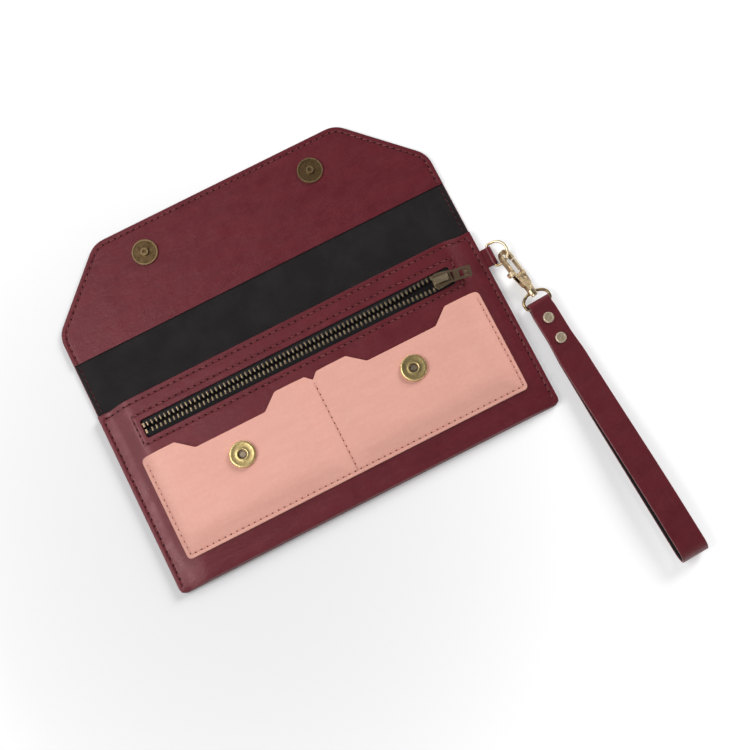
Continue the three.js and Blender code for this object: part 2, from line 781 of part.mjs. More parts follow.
// The lever's own origin is its pin
function gateLever() {
  const outer = hookHalfOpening + hookBar - leverPinX;
  const inner = outer - leverBar;
  const top = leverPinDrop - tipDrop - tipGap;
  const thumbLocal = [thumbX - leverPinX, leverPinDrop - thumbDrop];
  const arm = roundedPolygon([
    [inner, 0, barCorner], [outer, triggerRoot, barCorner],
    [outer, top, tipCorner], [inner, top, tipCorner]]);
  const thick = roundedPolygon([
    [inner, leverSplit, barCorner], [outer, leverSplit, barCorner],
    [outer, top, tipCorner], [inner, top, tipCorner]]);
  const trigger = roundedPolygon([
    [triggerRoot, -triggerHalf, tipCorner], [triggerRoot, triggerHalf, tipCorner],
    [thumbLocal[0], thumbLocal[1] + triggerTip, tipCorner],
    [thumbLocal[0], thumbLocal[1] - triggerTip, tipCorner]].reverse());
  const thin = leverThickness / 2;
  const full = hookThickness / 2 - leverInset;
  const knob = disc(thumbLocal[0], thumbLocal[1], thumbRadius, -thumbHalf, thumbHalf, 18);
  return disc(0, 0, leverHub, -thin, thin, 18)
    .add(plate(arm, -thin, thin, 3)).add(plate(thick, -full, full, 3))
    .add(plate(trigger, -thin, thin, 3)).add(knob)
    .subtract(disc(0, 0, leverPinRadius + clearance, -hookThickness, hookThickness, 14));
}

function gatePin() {
  return disc(0, 0, leverPinRadius, -hookThickness / 2, hookThickness / 2, 14);
}

// Swivel eye, with its origin where the hook's body ends

function swivelEye() {
  const e = eyeHalf;
  const c = eyeCorner;
  const bossMiddle = -clearance - swivelBoss / 2;
  const springing = eyeSpring - eyeBarDrop;
  const path = new THREE.Path();
  path.moveTo(c - e, -eyeBarDrop);
  path.lineTo(e - c, -eyeBarDrop);
  path.absarc(e - c, c - eyeBarDrop, c, -Math.PI / 2, 0, false);
  path.absellipse(0, springing, e, bossMiddle - springing, 0, Math.PI, false, 0);
  path.absarc(c - e, c - eyeBarDrop, c, Math.PI, 1.5 * Math.PI, false);
  const boss = rodAlongY(swivelBossRadius, -clearance - swivelBoss, -clearance, 20);
  const bore = rodAlongY(shankRadius + swivelPlay, -eyeBarDrop / 2, lap, 18);
  const headRoom = rodAlongY(shankHead + swivelPlay, -eyeBarDrop / 2, -clearance - swivelBoss, 18);
  return wireLoop(path, eyeWire, wireSides, 9).add(boss).subtract(bore).subtract(headRoom);
}

// Strap: a flat loop, drawn from the eye's bar (origin) along -Y, with the table below it

function strapTop(s, tableDrop) {
  const pressed = foldRadius + (pressHalf - foldRadius) * smooth(s / pressStart);
  const open = loopHeight - tableDrop;
  return pressed + (open - pressHalf) * smooth((s - pressEnd) / (loopOpenEnd - pressEnd));
}

function strapBottom(s, tableDrop) {
  const pressed = foldRadius + (pressHalf - foldRadius) * smooth(s / pressStart);
  return -pressed - (tableDrop - pressHalf) * smooth((s - pressEnd) / (loopRest - pressEnd));
}

function strapContour(inset, tableDrop) {
  const endRadius = loopHeight / 2;
  const endAt = strapLength - foldRadius - endRadius;
  const stations = [2.5, pressStart, pressEnd, 34, 42, 50, 60, 70, 80, 92, 104, 116, loopOpenEnd];
  const points = [];
  const arc = (y, z, radius, from, steps) => {
    for (let i = 0; i <= steps; i += 1) {
      const angle = from + (Math.PI * i) / steps;
      points.push(new THREE.Vector2(y + radius * Math.cos(angle), z + radius * Math.sin(angle)));
    }
  };
  arc(0, 0, foldRadius - inset, -Math.PI / 2, 10);
  stations.forEach((s) => points.push(new THREE.Vector2(-s, strapTop(s, tableDrop) - inset)));
  arc(-endAt, endRadius - tableDrop, endRadius - inset, Math.PI / 2, 12);
  stations.reverse().forEach((s) => points.push(new THREE.Vector2(-s, strapBottom(s, tableDrop) + inset)));
  return points;
}

function strapBand(from, to, tableDrop) {
  const shape = new THREE.Shape(strapContour(from, tableDrop));
  shape.holes.push(new THREE.Path(strapContour(to, tableDrop).reverse()));
  const wide = strapWidth / 2;
  const narrow = strapEndWidth / 2;
  const top = foldRadius + lap;
  const widened = -strapWiden - widenLength;
  const planform = roundedPolygon([
    [-narrow, top, 0], [-narrow, -strapWiden, 2], [-wide, widened, 3], [-wide, -strapLength, 0],
    [wide, -strapLength, 0], [wide, widened, 3], [narrow, -strapWiden, 2], [narrow, top, 0]]);
  let band = barAlongX(shape, -wide, wide).intersect(plate(planform, -loopHeight, loopHeight, 4));
  for (let i = 0; i < 2; i += 1) {
    const y = -rivetFirst - i * rivetPitch;
    band = band.subtract(disc(0, y, rivetPost + clearance, -loopHeight, loopHeight, 16));
  }
  return band;
}

function rivet() {
  const seat = pressHalf + rivetPlay;
  const half = [[rivetPost, seat], [rivetCap, seat]];
  for (const [across, rise] of domeShares) half.push([rivetCap * across, seat + rivetDome * rise]);
  const profile = [...half.map(([r, z]) => [r, -z]).reverse(), ...half];
  const geometry = new THREE.LatheGeometry(profile.map(([r, z]) => new THREE.Vector2(r, z)), 20);
  geometry.rotateX(Math.PI / 2);
  return toSolid(geometry);
}

// Assembly

const wallet = new THREE.Group();
wallet.position.y = -panelCentre;

addPiece(wallet, 'outer_shell', outerShell(), look(colours.maroon, 0.4));
addPiece(wallet, 'flap_outer', flapOuter(), look(colours.maroon, 0.4));
addPiece(wallet, 'flap_facing', flapFacing(), look(colours.maroon, 0.4));
addPiece(wallet, 'back_lining', backLining(), look(colours.blackCloth, 0.9));
addPiece(wallet, 'flap_lining', flapLining(), look(colours.blackCloth, 0.9));
addPiece(wallet, 'bill_divider', billDivider(), look(colours.blackCloth, 0.9));
addPiece(wallet, 'coin_pocket', coinPocket(), look(colours.blackCloth, 0.9));
addPiece(wallet, 'card_panel', cardPanel(), look(colours.pink, 0.5));

for (const [side, name] of [[-1, 'left'], [1, 'right']]) {
  const x = side * snapSpread;
  addPiece(wallet, `snap_cap_${name}`, snapCap(x), look(colours.brass, 0.3, 1));
  addPiece(wallet, `snap_post_${name}`, snapPost(x), look(colours.steel, 0.4, 1));
  addPiece(wallet, `snap_magnet_${name}`, snapMagnet(x), look(colours.ferrite, 0.8));
  addPiece(wallet, `snap_stud_${name}`, snapStud(x), look(colours.oldBrass, 0.35, 1));
}

for (const [side, name] of [[1, 'upper'], [-1, 'lower']]) {
  addPiece(wallet, `zip_tape_${name}`, zipTape(side), look(colours.tape, 0.9));
  addPiece(wallet, `zip_teeth_${name}`, toothRow(side), look(colours.brass, 0.35, 1));
  addPiece(wallet, `zip_top_stop_${name}`, topStop(side), look(colours.brass, 0.35, 1));
}
addPiece(wallet, 'zip_bottom_stop', bottomStop(), look(colours.brass, 0.35, 1));

// The slider leans a little in the open zip, with its post on the centre line between the rows
const slider = new THREE.Group();
const postOffset = (sliderPost - sliderLength / 2) * Math.sin(sliderYaw);
slider.position.set(rowLength / 2 - sliderLength / 2, zipUp - postOffset, crown);
slider.rotation.z = sliderYaw;
wallet.add(slider);
addPiece(slider, 'zip_slider', sliderBody(), look(colours.brass, 0.35, 1));
const pull = addPiece(slider, 'zip_pull', pullTab(), look(colours.brass, 0.35, 1));
const tunnelMiddle = chainThickness / 2 + clearance + sliderPlate + (bridgeHeight - bridgeWall) / 2;
pull.position.set(bridgeStart + bridgeFoot + pullSlack - sliderLength / 2, 0, tunnelMiddle);
pull.rotation.z = pullYaw;

addPiece(wallet, 'ring_tab', ringTab(), look(colours.maroon, 0.4));
const ring = new THREE.Group();
ring.position.set(ringBarX, tabUp, tabLoop);
ring.rotation.y = -ringTilt;
wallet.add(ring);
addPiece(ring, 'd_ring', dRing(), look(colours.paleBrass, 0.3, 1));

const grip = new THREE.Vector3(
  ringStraight + ringHalf * Math.cos(ringGrip), ringHalf * Math.sin(ringGrip), 0);
ring.updateMatrix();
const hookAxis = new THREE.Group();
hookAxis.position.copy(grip.applyMatrix4(ring.matrix));
hookAxis.rotation.z = hookTilt;
wallet.add(hookAxis);
const hook = new THREE.Group();
hook.rotation.y = hookRoll;
hookAxis.add(hook);
addPiece(hook, 'hook_body', hookBody(), look(colours.paleBrass, 0.3, 1));
const lever = addPiece(hook, 'gate_lever', gateLever(), look(colours.paleBrass, 0.3, 1));
lever.position.set(leverPinX, -leverPinDrop, 0);
const pin = addPiece(hook, 'gate_pin', gatePin(), look(colours.steel, 0.3, 1));
pin.position.copy(lever.position);

hookAxis.updateMatrix();
const eye = new THREE.Group();
eye.position.set(0, -hookBodyEnd, 0).applyMatrix4(hookAxis.matrix);
eye.rotation.z = strapTilt;
wallet.add(eye);
addPiece(eye, 'swivel_eye', swivelEye(), look(colours.paleBrass, 0.3, 1));

const strap = new THREE.Group();
strap.position.set(0, -eyeBarDrop, 0);
eye.add(strap);
const tableDrop = eye.position.z;
addPiece(strap, 'strap_outer', strapBand(0, strapLeather, tableDrop), look(colours.maroon, 0.4));
addPiece(strap, 'strap_lining', strapBand(strapLeather + strapGap, strapStack, tableDrop),
  look(colours.blackCloth, 0.9));
for (const [i, name] of ['first', 'second'].entries()) {
  const fastener = addPiece(strap, `rivet_${name}`, rivet(), look(colours.paleBrass, 0.3, 1));
  fastener.position.y = -rivetFirst - i * rivetPitch;
}

const part = new THREE.Group();
part.add(wallet);
export default part;
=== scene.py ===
"""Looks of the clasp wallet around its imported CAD: leather, stitching, linings, zip and metal."""

import math

import bmesh
import bpy
import numpy as np
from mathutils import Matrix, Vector, geometry


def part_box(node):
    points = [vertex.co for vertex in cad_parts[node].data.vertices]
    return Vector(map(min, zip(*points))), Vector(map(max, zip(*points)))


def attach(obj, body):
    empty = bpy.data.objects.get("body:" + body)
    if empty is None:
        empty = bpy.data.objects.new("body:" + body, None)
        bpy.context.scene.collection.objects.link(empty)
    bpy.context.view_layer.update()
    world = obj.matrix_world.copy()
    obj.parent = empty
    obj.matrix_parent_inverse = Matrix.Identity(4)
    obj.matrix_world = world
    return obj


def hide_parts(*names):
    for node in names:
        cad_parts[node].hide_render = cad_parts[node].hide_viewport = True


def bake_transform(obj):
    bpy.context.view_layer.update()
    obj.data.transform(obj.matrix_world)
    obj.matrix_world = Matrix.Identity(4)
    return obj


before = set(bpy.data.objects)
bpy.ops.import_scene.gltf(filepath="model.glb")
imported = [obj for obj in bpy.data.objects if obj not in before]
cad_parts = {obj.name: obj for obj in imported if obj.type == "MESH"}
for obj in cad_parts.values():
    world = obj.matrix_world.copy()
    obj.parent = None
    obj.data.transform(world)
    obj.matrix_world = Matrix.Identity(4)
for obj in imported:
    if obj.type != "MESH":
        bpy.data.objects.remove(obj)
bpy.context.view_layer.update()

# Sizes in millimetres, as in the CAD. Y runs up from the bottom fold; the row frame starts at ROW_Y.
ROW_Y = 55.0
HALF = 110.0
FRONT = 103.5
FLAP_END = 190.0
FLAP_CHAMFER = 37.5
FLAP_CORNER = 14.0
BODY_CORNER = 3.5
LEATHER = 1.0
FACING_TOP = 2.0
FACING_START = 134.0
FACING_LAP = 7.0
LINING = 0.3
LAYER_GAP = 0.02
SEAM_HEIGHT = 3.6
CROWN = 9.8
SEAM_MARGIN = 5.0
SIDE_RISE = 13.0
BOTTOM_RISE = 30.0
BOTTOM_SHARE = 0.3
NOSE_EASE = 20

PANEL_HALF = 98.5
PANEL_BOTTOM = 14.0
PANEL_TOP = 72.0
PANEL_LEATHER = 0.9
PANEL_FACE = 2.0
NOTCH_TOP = 58.0
NOTCH_BOTTOM = 40.0
NOTCH_DEPTH = 7.4
NOTCH_SHIFT = 0.4
CENTRE_NOTCH = 3.4

ZIP_Y = 85.5
WINDOW_HALF = 90.0
WINDOW_HEIGHT = 10.0
WINDOW_CORNER = 1.5
TOOTH_PITCH = 2.48
TOOTH_COUNT = 71
TAPE_DROP = 1.5
TAPE_REACH = 11.0
TAPE_END = 91.5

COIN_SIDE = 95.0
COIN_BOTTOM = 20.0
COIN_TOP = 99.0
COIN_FRONT_DEPTH = 1.25
COIN_BACK_DEPTH = 2.95
DIVIDER_SIDE = 97.0
DIVIDER_BOTTOM = 13.0
DIVIDER_DEPTH = 3.5

TAB_Y = 86.5
TAB_HALF = 5.25

STRAP_AT = (124.563, 51.26, 4.086)
STRAP_TILT = math.radians(3.4)
STRAP_LENGTH = 155.0
STRAP_HALF = 7.5
STRAP_END_HALF = 6.3
STRAP_WAIST_HALF = 6.75
STRAP_LEATHER = 0.9
STRAP_LINING = 0.5
FOLD_RADIUS = 2.75
PRESS_HALF = 1.75
PRESS_START = 5.0
PRESS_END = 26.0
LOOP_HEIGHT = 12.0
LOOP_OPEN_END = 130.0
LOOP_REST = 70.0

# The leather's flat pattern: s runs from the front's top edge round the bottom fold to the flap's end
NOSE = (SEAM_HEIGHT + (CROWN - SEAM_HEIGHT) * BOTTOM_SHARE) / 2
FRONT_RUN = FRONT - NOSE
BACK_START = FRONT_RUN + math.pi * NOSE
SEAM_INSET = 2.7
PANEL_INSET = 2.2
STITCH_PITCH = 3.7
PANEL_PITCH = 3.4
BOX_HALF = 93.2
BOX_LOW = 77.7
BOX_HIGH = 94.1
GROOVE = 0.22
GROOVE_WIDTH = 0.5


# Numbers and outlines

OUTLINE_STEP = 1.25
INSET_KEEP = 0.985


def smooth(t):
    c = np.clip(t, 0, 1)
    return c * c * (3 - 2 * c)


def sample_polyline(points, step, closed=True):
    """The polyline again, with points at most step apart and its own corners kept."""
    ends = points[1:] + points[:1] if closed else points[1:]
    made = []
    for a, b in zip(points, ends):
        a, b = np.array(a, float), np.array(b, float)
        count = max(1, math.ceil(np.linalg.norm(b - a) / step))
        made.extend(a + (b - a) * k / count for k in range(count))
    if not closed:
        made.append(np.array(points[-1], float))
    return np.array(made)


def rounded_polygon(corners, step=OUTLINE_STEP, arc=7):
    """The outline through corners (x, y, radius), each rounded as in the CAD."""
    points = []
    for i, (x, y, radius) in enumerate(corners):
        here = np.array([x, y], float)
        before = np.array(corners[i - 1][:2], float) - here
        after = np.array(corners[(i + 1) % len(corners)][:2], float) - here
        before /= np.linalg.norm(before)
        after /= np.linalg.norm(after)
        if radius == 0:
            points.append(tuple(here))
            continue
        half = math.acos(max(-1, min(1, before @ after))) / 2
        back = radius / math.tan(half)
        start, end = here + before * back, here + after * back
        for t in np.linspace(0, 1, arc):
            points.append(tuple(start * (1 - t) ** 2 + 2 * here * t * (1 - t) + end * t * t))
    return sample_polyline(points, step)


def rectangle(x0, x1, y0, y1, radius):
    return rounded_polygon([(x0, y0, radius), (x1, y0, radius), (x1, y1, radius), (x0, y1, radius)])


def distance(points, lines):
    """How far each point is from the nearest of the lines, which are (polyline, closed)."""
    best = np.full(len(points), 1e9)
    for line, closed in lines:
        a = line if closed else line[:-1]
        b = np.roll(line, -1, axis=0) if closed else line[1:]
        span = b - a
        size = np.maximum((span ** 2).sum(1), 1e-12)
        for low in range(0, len(points), 2000):
            p = points[low:low + 2000, None, :] - a[None]
            t = np.clip((p * span).sum(2) / size, 0, 1)
            off = p - t[..., None] * span
            best[low:low + 2000] = np.minimum(best[low:low + 2000], np.sqrt((off ** 2).sum(2)).min(1))
    return best


def inside(points, loop):
    """Whether each point is inside the loop."""
    a, b = loop, np.roll(loop, -1, axis=0)
    found = np.zeros(len(points), bool)
    for low in range(0, len(points), 2000):
        p = points[low:low + 2000, None, :]
        crosses = (a[:, 1] > p[..., 1]) != (b[:, 1] > p[..., 1])
        height = np.where(b[:, 1] == a[:, 1], 1, b[:, 1] - a[:, 1])
        at = a[:, 0] + (p[..., 1] - a[:, 1]) * (b[:, 0] - a[:, 0]) / height
        found[low:low + 2000] = (crosses & (p[..., 0] < at)).sum(1) % 2 == 1
    return found


def left_normals(line, closed=True):
    """Unit vectors to the left of the line at its points."""
    if closed:
        along = np.roll(line, -1, axis=0) - np.roll(line, 1, axis=0)
    else:
        along = np.gradient(line, axis=0)
    along /= np.maximum(np.linalg.norm(along, axis=1), 1e-9)[:, None]
    return np.stack([-along[:, 1], along[:, 0]], 1)


def inset(loop, by):
    """A loop, drawn counterclockwise, moved inwards; points that its corners swallow are left out."""
    moved = loop + left_normals(loop) * by
    return moved[distance(moved, [(loop, True)]) > abs(by) * INSET_KEEP]


# Flat patterns filled with triangles

RINGS = (0.1, 0.25, 0.5, 0.9, 1.5)
SEAM_STEPS = (-1.1, -0.6, -0.3, 0, 0.3, 0.6, 1.1)
ROW_CLEAR = 0.2
GRID_CLEAR = 0.45
WELD_GAP = 1e-4


def fill(loops, seams, rings, spacing):
    """Points and triangles that fill the first loop around the others, denser at edges and seams."""
    edges = [(loop, True) for loop in loops]
    extra = []
    for k, loop in enumerate(loops):
        turn = 1 if k == 0 else -1
        extra += [inset(loop, turn * ring) for ring in rings]
    for line, closed in seams:
        normal = left_normals(line, closed)
        rows = [line + normal * step for step in SEAM_STEPS]
        extra += [row[distance(row, edges) > rings[-1] + ROW_CLEAR] for row in rows]
    extra = np.vstack(extra)
    low, high = loops[0].min(0), loops[0].max(0)
    grid = np.stack(np.meshgrid(*[np.arange(low[k] + spacing / 2, high[k], spacing) for k in (0, 1)]), -1)
    grid = grid.reshape(-1, 2)
    free = distance(grid, edges) > rings[-1] + GRID_CLEAR * spacing
    free &= distance(grid, seams) > SEAM_STEPS[-1] + GRID_CLEAR * spacing if seams else True
    points = np.vstack([*loops, extra[in_all(extra, loops)], grid[free & in_all(grid, loops)]])
    rims, first = [], 0
    for loop in loops:
        count = len(loop)
        rims += [(first + i, first + (i + 1) % count) for i in range(count)]
        first += count
    made = geometry.delaunay_2d_cdt([Vector(p) for p in points], rims, [], 0, WELD_GAP)
    flat = np.array([tuple(v) for v in made[0]], float)
    triangles = np.array(made[2], int)
    middle = flat[triangles].mean(1)
    triangles = triangles[in_all(middle, loops)]
    used, triangles = np.unique(triangles, return_inverse=True)
    return flat[used], triangles.reshape(-1, 3)


def in_all(points, loops):
    """Inside the first loop and outside the holes."""
    found = inside(points, loops[0])
    for loop in loops[1:]:
        found &= ~inside(points, loop)
    return found


# Blender meshes

MILLIMETRE = 0.001
RIM_FADE = 0.4
RIM_SHARE = 0.4
SEAM_FADE = 0.9


def to_row(points):
    return (np.asarray(points, float) - (0, ROW_Y, 0)) * MILLIMETRE


def make(name, points, faces, material, flat=None, weights=None, sharp=35):
    """A smooth mesh object from points in millimetres."""
    mesh = bpy.data.meshes.new(name)
    mesh.from_pydata(to_row(points).tolist(), [], [list(map(int, f)) for f in faces])
    if flat is not None:
        layer = mesh.uv_layers.new(name="UVMap")
        index = np.zeros(len(mesh.loops), np.int32)
        mesh.loops.foreach_get("vertex_index", index)
        layer.data.foreach_set("uv", np.asarray(flat, np.float32)[index].ravel())
    for key, values in (weights or {}).items():
        attribute = mesh.attributes.new(key, "FLOAT", "POINT")
        attribute.data.foreach_set("value", np.asarray(values, np.float32))
    face_outwards(mesh)
    mesh.materials.append(material)
    mesh.shade_smooth()
    mesh.set_sharp_from_angle(angle=math.radians(sharp))
    made = bpy.data.objects.new(name, mesh)
    bpy.context.scene.collection.objects.link(made)
    return made


def face_outwards(mesh):
    shape = bmesh.new()
    shape.from_mesh(mesh)
    bmesh.ops.recalc_face_normals(shape, faces=shape.faces)
    shape.to_mesh(mesh)
    shape.free()


def tube(rows, around, closed=False):
    """Faces of a tube with so many points around each row, closed on itself or with two caps."""
    faces = []
    for i in range(rows if closed else rows - 1):
        for k in range(around):
            a, b = i * around + k, i * around + (k + 1) % around
            up = ((i + 1) % rows - i) * around
            faces.append((a, b, b + up, a + up))
    if not closed:
        faces += [tuple(range(around)), tuple(range((rows - 1) * around, rows * around))]
    return faces


def tubes(count, rows, around):
    """Faces of several tubes, one after the other."""
    one = tube(rows, around)
    return [tuple(n * rows * around + p for p in face) for n in range(count) for face in one]


def rim_drop(d, radius):
    """How far a face falls at distance d from a rounded edge."""
    back = np.clip(radius - d, 0, radius)
    return radius - np.sqrt(np.maximum(radius ** 2 - back ** 2, 0))


def sheet(name, loops, place, thickness, material, seams=(), rim=0.35, rings=RINGS, spacing=2.6,
          groove=GROOVE):
    """A thick sheet: place(flat, h) gives the point at height h above the sheet's underside."""
    seams = list(seams)
    flat, triangles = fill(loops, seams, rings, spacing)
    edge = distance(flat, [(loop, True) for loop in loops])
    seam = distance(flat, seams) if seams else np.full(len(flat), 1e3)
    drop = rim_drop(edge, min(rim, thickness * RIM_SHARE))
    dent = np.exp(-(seam / GROOVE_WIDTH) ** 2)
    top = place(flat, thickness - drop - groove * dent)
    bottom = place(flat, drop)
    count = len(flat)
    lines = np.vstack([triangles[:, [0, 1]], triangles[:, [1, 2]], triangles[:, [2, 0]]])
    known = set(map(tuple, lines.tolist()))
    rims = [(a, b) for a, b in known if (b, a) not in known]
    faces = [tuple(t) for t in triangles] + [tuple(t[::-1] + count) for t in triangles]
    faces += [(a + count, b + count, b, a) for a, b in sorted(rims)]
    # rim marks the edges for their edge colour; seam marks the stitch grooves for painted shade.
    weights = {"rim": np.exp(-edge / RIM_FADE), "seam": np.exp(-(seam / SEAM_FADE) ** 2)}
    weights = {k: np.concatenate([v, v]) for k, v in weights.items()}
    return make(name, np.vstack([top, bottom]), faces, material, np.vstack([flat, flat]), weights)


# Stitches: short threads that dive into the leather at both ends, with a dark patch of painted shade at the
# needle hole between them

THREAD_AT = np.array([-0.5, -0.44, -0.22, 0.22, 0.44, 0.5])
THREAD_THICK = np.array([0.45, 0.85, 1.0, 1.0, 0.85, 0.45])
THREAD_DIVE = np.array([-0.34, -0.12, 0, 0, -0.12, -0.34])
THREAD_SIDES = 8
THREAD_LIFT = 0.15
THREAD_SHARE = 0.8
THREAD_SLANT = 0.35
HOLE_SQUAT = 0.28
HOLE_TOP = 0.14
PROBE = 0.05


def along_line(line, at):
    """Points of an open polyline at distances along it, and unit vectors to its left."""
    length = np.concatenate([[0], np.cumsum(np.linalg.norm(np.diff(line, axis=0), axis=1))])
    point = np.stack([np.interp(at, length, line[:, k]) for k in (0, 1)], -1)
    ahead = np.stack([np.interp(at + PROBE, length, line[:, k]) for k in (0, 1)], -1)
    behind = np.stack([np.interp(at - PROBE, length, line[:, k]) for k in (0, 1)], -1)
    way = ahead - behind
    way /= np.maximum(np.linalg.norm(way, axis=-1), 1e-9)[..., None]
    return point, np.stack([-way[..., 1], way[..., 0]], -1)


def capsules(line, place, centres, length, radius, squat, heights, slant):
    """Small closed tubes along a line at the given centres."""
    at = centres[:, None] + THREAD_AT[None] * length
    point, side = along_line(line, at)
    point = point + side * (THREAD_AT * slant)[None, :, None]
    shape = at.shape
    flat, across = point.reshape(-1, 2), side.reshape(-1, 2)
    high = np.tile(heights, shape[0])
    middle = place(flat, high)
    up = place(flat, high + PROBE) - middle
    right = place(flat + across * PROBE, high) - middle
    up /= np.linalg.norm(up, axis=1)[:, None]
    right /= np.linalg.norm(right, axis=1)[:, None]
    thick = np.tile(THREAD_THICK * radius, shape[0])
    angles = 2 * math.pi * (np.arange(THREAD_SIDES) + 0.5) / THREAD_SIDES
    ring = (middle[:, None] + thick[:, None, None] * (np.cos(angles)[None, :, None] * right[:, None]
            + squat * np.sin(angles)[None, :, None] * up[:, None]))
    return ring.reshape(-1, 3), tubes(*shape, THREAD_SIDES)


def stitches(name, lines, place, pitch, thread, hole, radius=0.27, groove=GROOVE, hole_half=0.48,
             hole_long=1.4):
    """One object with the threads of several seam lines and the painted shade in their needle holes."""
    points, faces, kinds = [], [], []
    lift = THREAD_LIFT - groove + THREAD_DIVE
    # Each needle hole is a dark capsule sunk to just under the leather's face: painted shade in the hole.
    sunk = np.full(len(THREAD_AT), HOLE_TOP - hole_half * HOLE_SQUAT - groove / 2)
    for line in lines:
        total = np.linalg.norm(np.diff(line, axis=0), axis=1).sum()
        count = max(1, round(total / pitch))
        step = total / count
        centres = (np.arange(count) + 0.5) * step
        for kind, (spots, long, thick, squat, heights, slant) in enumerate([
                (centres, step * THREAD_SHARE, radius, 1.0, lift, THREAD_SLANT),
                (np.arange(count + 1) * step, hole_long, hole_half, HOLE_SQUAT, sunk, 0)]):
            ring, ring_faces = capsules(line, place, spots, long, thick, squat, heights, slant)
            start = sum(len(p) for p in points)
            points.append(ring)
            faces += [tuple(i + start for i in f) for f in ring_faces]
            kinds += [kind] * len(ring_faces)
    made = make(name, np.vstack(points), faces, thread, sharp=60)
    made.data.materials.append(hole)
    made.data.polygons.foreach_set("material_index", kinds)
    return made


# Materials

class Nodes:
    """The node tree of a new material or world, with short calls for what they share."""

    def __init__(self, name, world=False):
        self.made = (bpy.data.worlds if world else bpy.data.materials).new(name)
        self.made.use_nodes = True
        self.tree = self.made.node_tree
        self.shader = self.tree.nodes["Background" if world else "Principled BSDF"]

    def add(self, kind, inputs=None, **settings):
        node = self.tree.nodes.new(kind)
        for key, value in settings.items():
            setattr(node, key, value)
        for key, value in (inputs or {}).items():
            self.put(node.inputs[key], value)
        return node

    def put(self, socket, value):
        if isinstance(value, bpy.types.NodeSocket):
            self.tree.links.new(value, socket)
        else:
            socket.default_value = value

    def coords(self, kind, scale=(1, 1, 1), turn=0.0):
        source = self.add("ShaderNodeTexCoord").outputs[kind]
        return self.add("ShaderNodeMapping", {"Vector": source, "Scale": scale,
                                              "Rotation": (0, 0, turn)}).outputs[0]

    def noise(self, vector, scale, detail=2.0, rough=0.5):
        return self.add("ShaderNodeTexNoise", {"Vector": vector, "Scale": scale, "Detail": detail,
                                               "Roughness": rough}).outputs["Fac"]

    def cells(self, vector, scale):
        return self.add("ShaderNodeTexVoronoi", {"Vector": vector, "Scale": scale},
                        feature="DISTANCE_TO_EDGE").outputs["Distance"]

    def weight(self, name):
        return self.add("ShaderNodeAttribute", attribute_name=name).outputs["Fac"]

    def math(self, kind, a, b=0.0, c=0.0):
        return self.add("ShaderNodeMath", {0: a, 1: b, 2: c}, operation=kind).outputs[0]

    def between(self, value, low, high, out_low=0.0, out_high=1.0):
        return self.add("ShaderNodeMapRange", {"Value": value, "From Min": low, "From Max": high,
                                               "To Min": out_low, "To Max": out_high}).outputs[0]

    def mix(self, share, a, b):
        return self.add("ShaderNodeMix", {0: share, 6: a, 7: b}, data_type="RGBA").outputs[2]

    def bump(self, height, distance_mm, normal=None, invert=False):
        inputs = {"Height": height, "Distance": distance_mm * MILLIMETRE, "Strength": 1.0}
        if normal is not None:
            inputs["Normal"] = normal
        return self.add("ShaderNodeBump", inputs, invert=invert).outputs[0]

    def finish(self, **sockets):
        for key, value in sockets.items():
            self.put(self.shader.inputs[key.replace("_", " ")], value)
        return self.made


def srgb(r, g, b):
    """A colour written as on screen, 0 to 255, in linear light."""
    parts = [v / 255 for v in (r, g, b)]
    return tuple(v / 12.92 if v <= 0.04045 else ((v + 0.055) / 1.055) ** 2.4 for v in parts) + (1.0,)


# The leather's slow swell, in millimetres, and the scale that turns metres into millimetres
SWELL = 0.5
UNIT = 1000.0


def leather(name, base, dark, light, edge, kind="UV", unit=1.0, rough=0.4, level=0.65, grain=0.07,
            tint=(1.0, 0.62, 0.64, 1.0), invert=False):
    """Smooth pressed leather: fine grain, faint creases with painted shade in their low parts, painted
    shade along the seam grooves, and rubbed edges.
    """
    n = Nodes(name)
    at = n.coords(kind, (unit,) * 3)
    mottle = n.noise(at, 0.035, 4.0, 0.6)
    fine = n.noise(at, 0.5, 5.0, 0.65)
    pores = n.cells(n.coords(kind, (unit, unit * 0.8, unit)), 1.25)
    crease_at = n.coords(kind, (unit * 0.22, unit, unit), 0.35)
    crease = n.between(n.noise(crease_at, 0.16, 6.0, 0.7), 0.47, 0.53)
    colour = n.mix(n.between(mottle, 0.35, 0.7, 0, 0.28), base, dark)
    colour = n.mix(n.between(fine, 0.45, 0.75, 0, 0.28), colour, light)
    # Painted shade: the creases' low parts are darkened.
    colour = n.mix(n.between(crease, 0.2, 1.0, 0.16, 0), colour, dark)
    # Painted shade along the stitch grooves, from the seam weight.
    colour = n.mix(n.between(n.weight("seam"), 0.1, 1.0, 0, 0.5), colour, dark)
    colour = n.mix(n.between(n.weight("rim"), 0.35, 0.9, 0, 0.7), colour, edge)
    height = n.math("MULTIPLY_ADD", n.between(pores, 0, 0.35), 0.35, n.math("MULTIPLY", fine, 0.5))
    height = n.math("MULTIPLY_ADD", crease, 0.5, height)
    swell = n.bump(n.noise(at, 0.055, 3.0, 0.5), SWELL, invert=invert)
    shine = n.between(n.noise(at, 0.12, 4.0, 0.6), 0.3, 0.75, rough - 0.05, rough + 0.12)
    return n.finish(Base_Color=colour, Roughness=shine, Normal=n.bump(height, grain, swell, invert),
                    Specular_IOR_Level=level, Specular_Tint=tint)


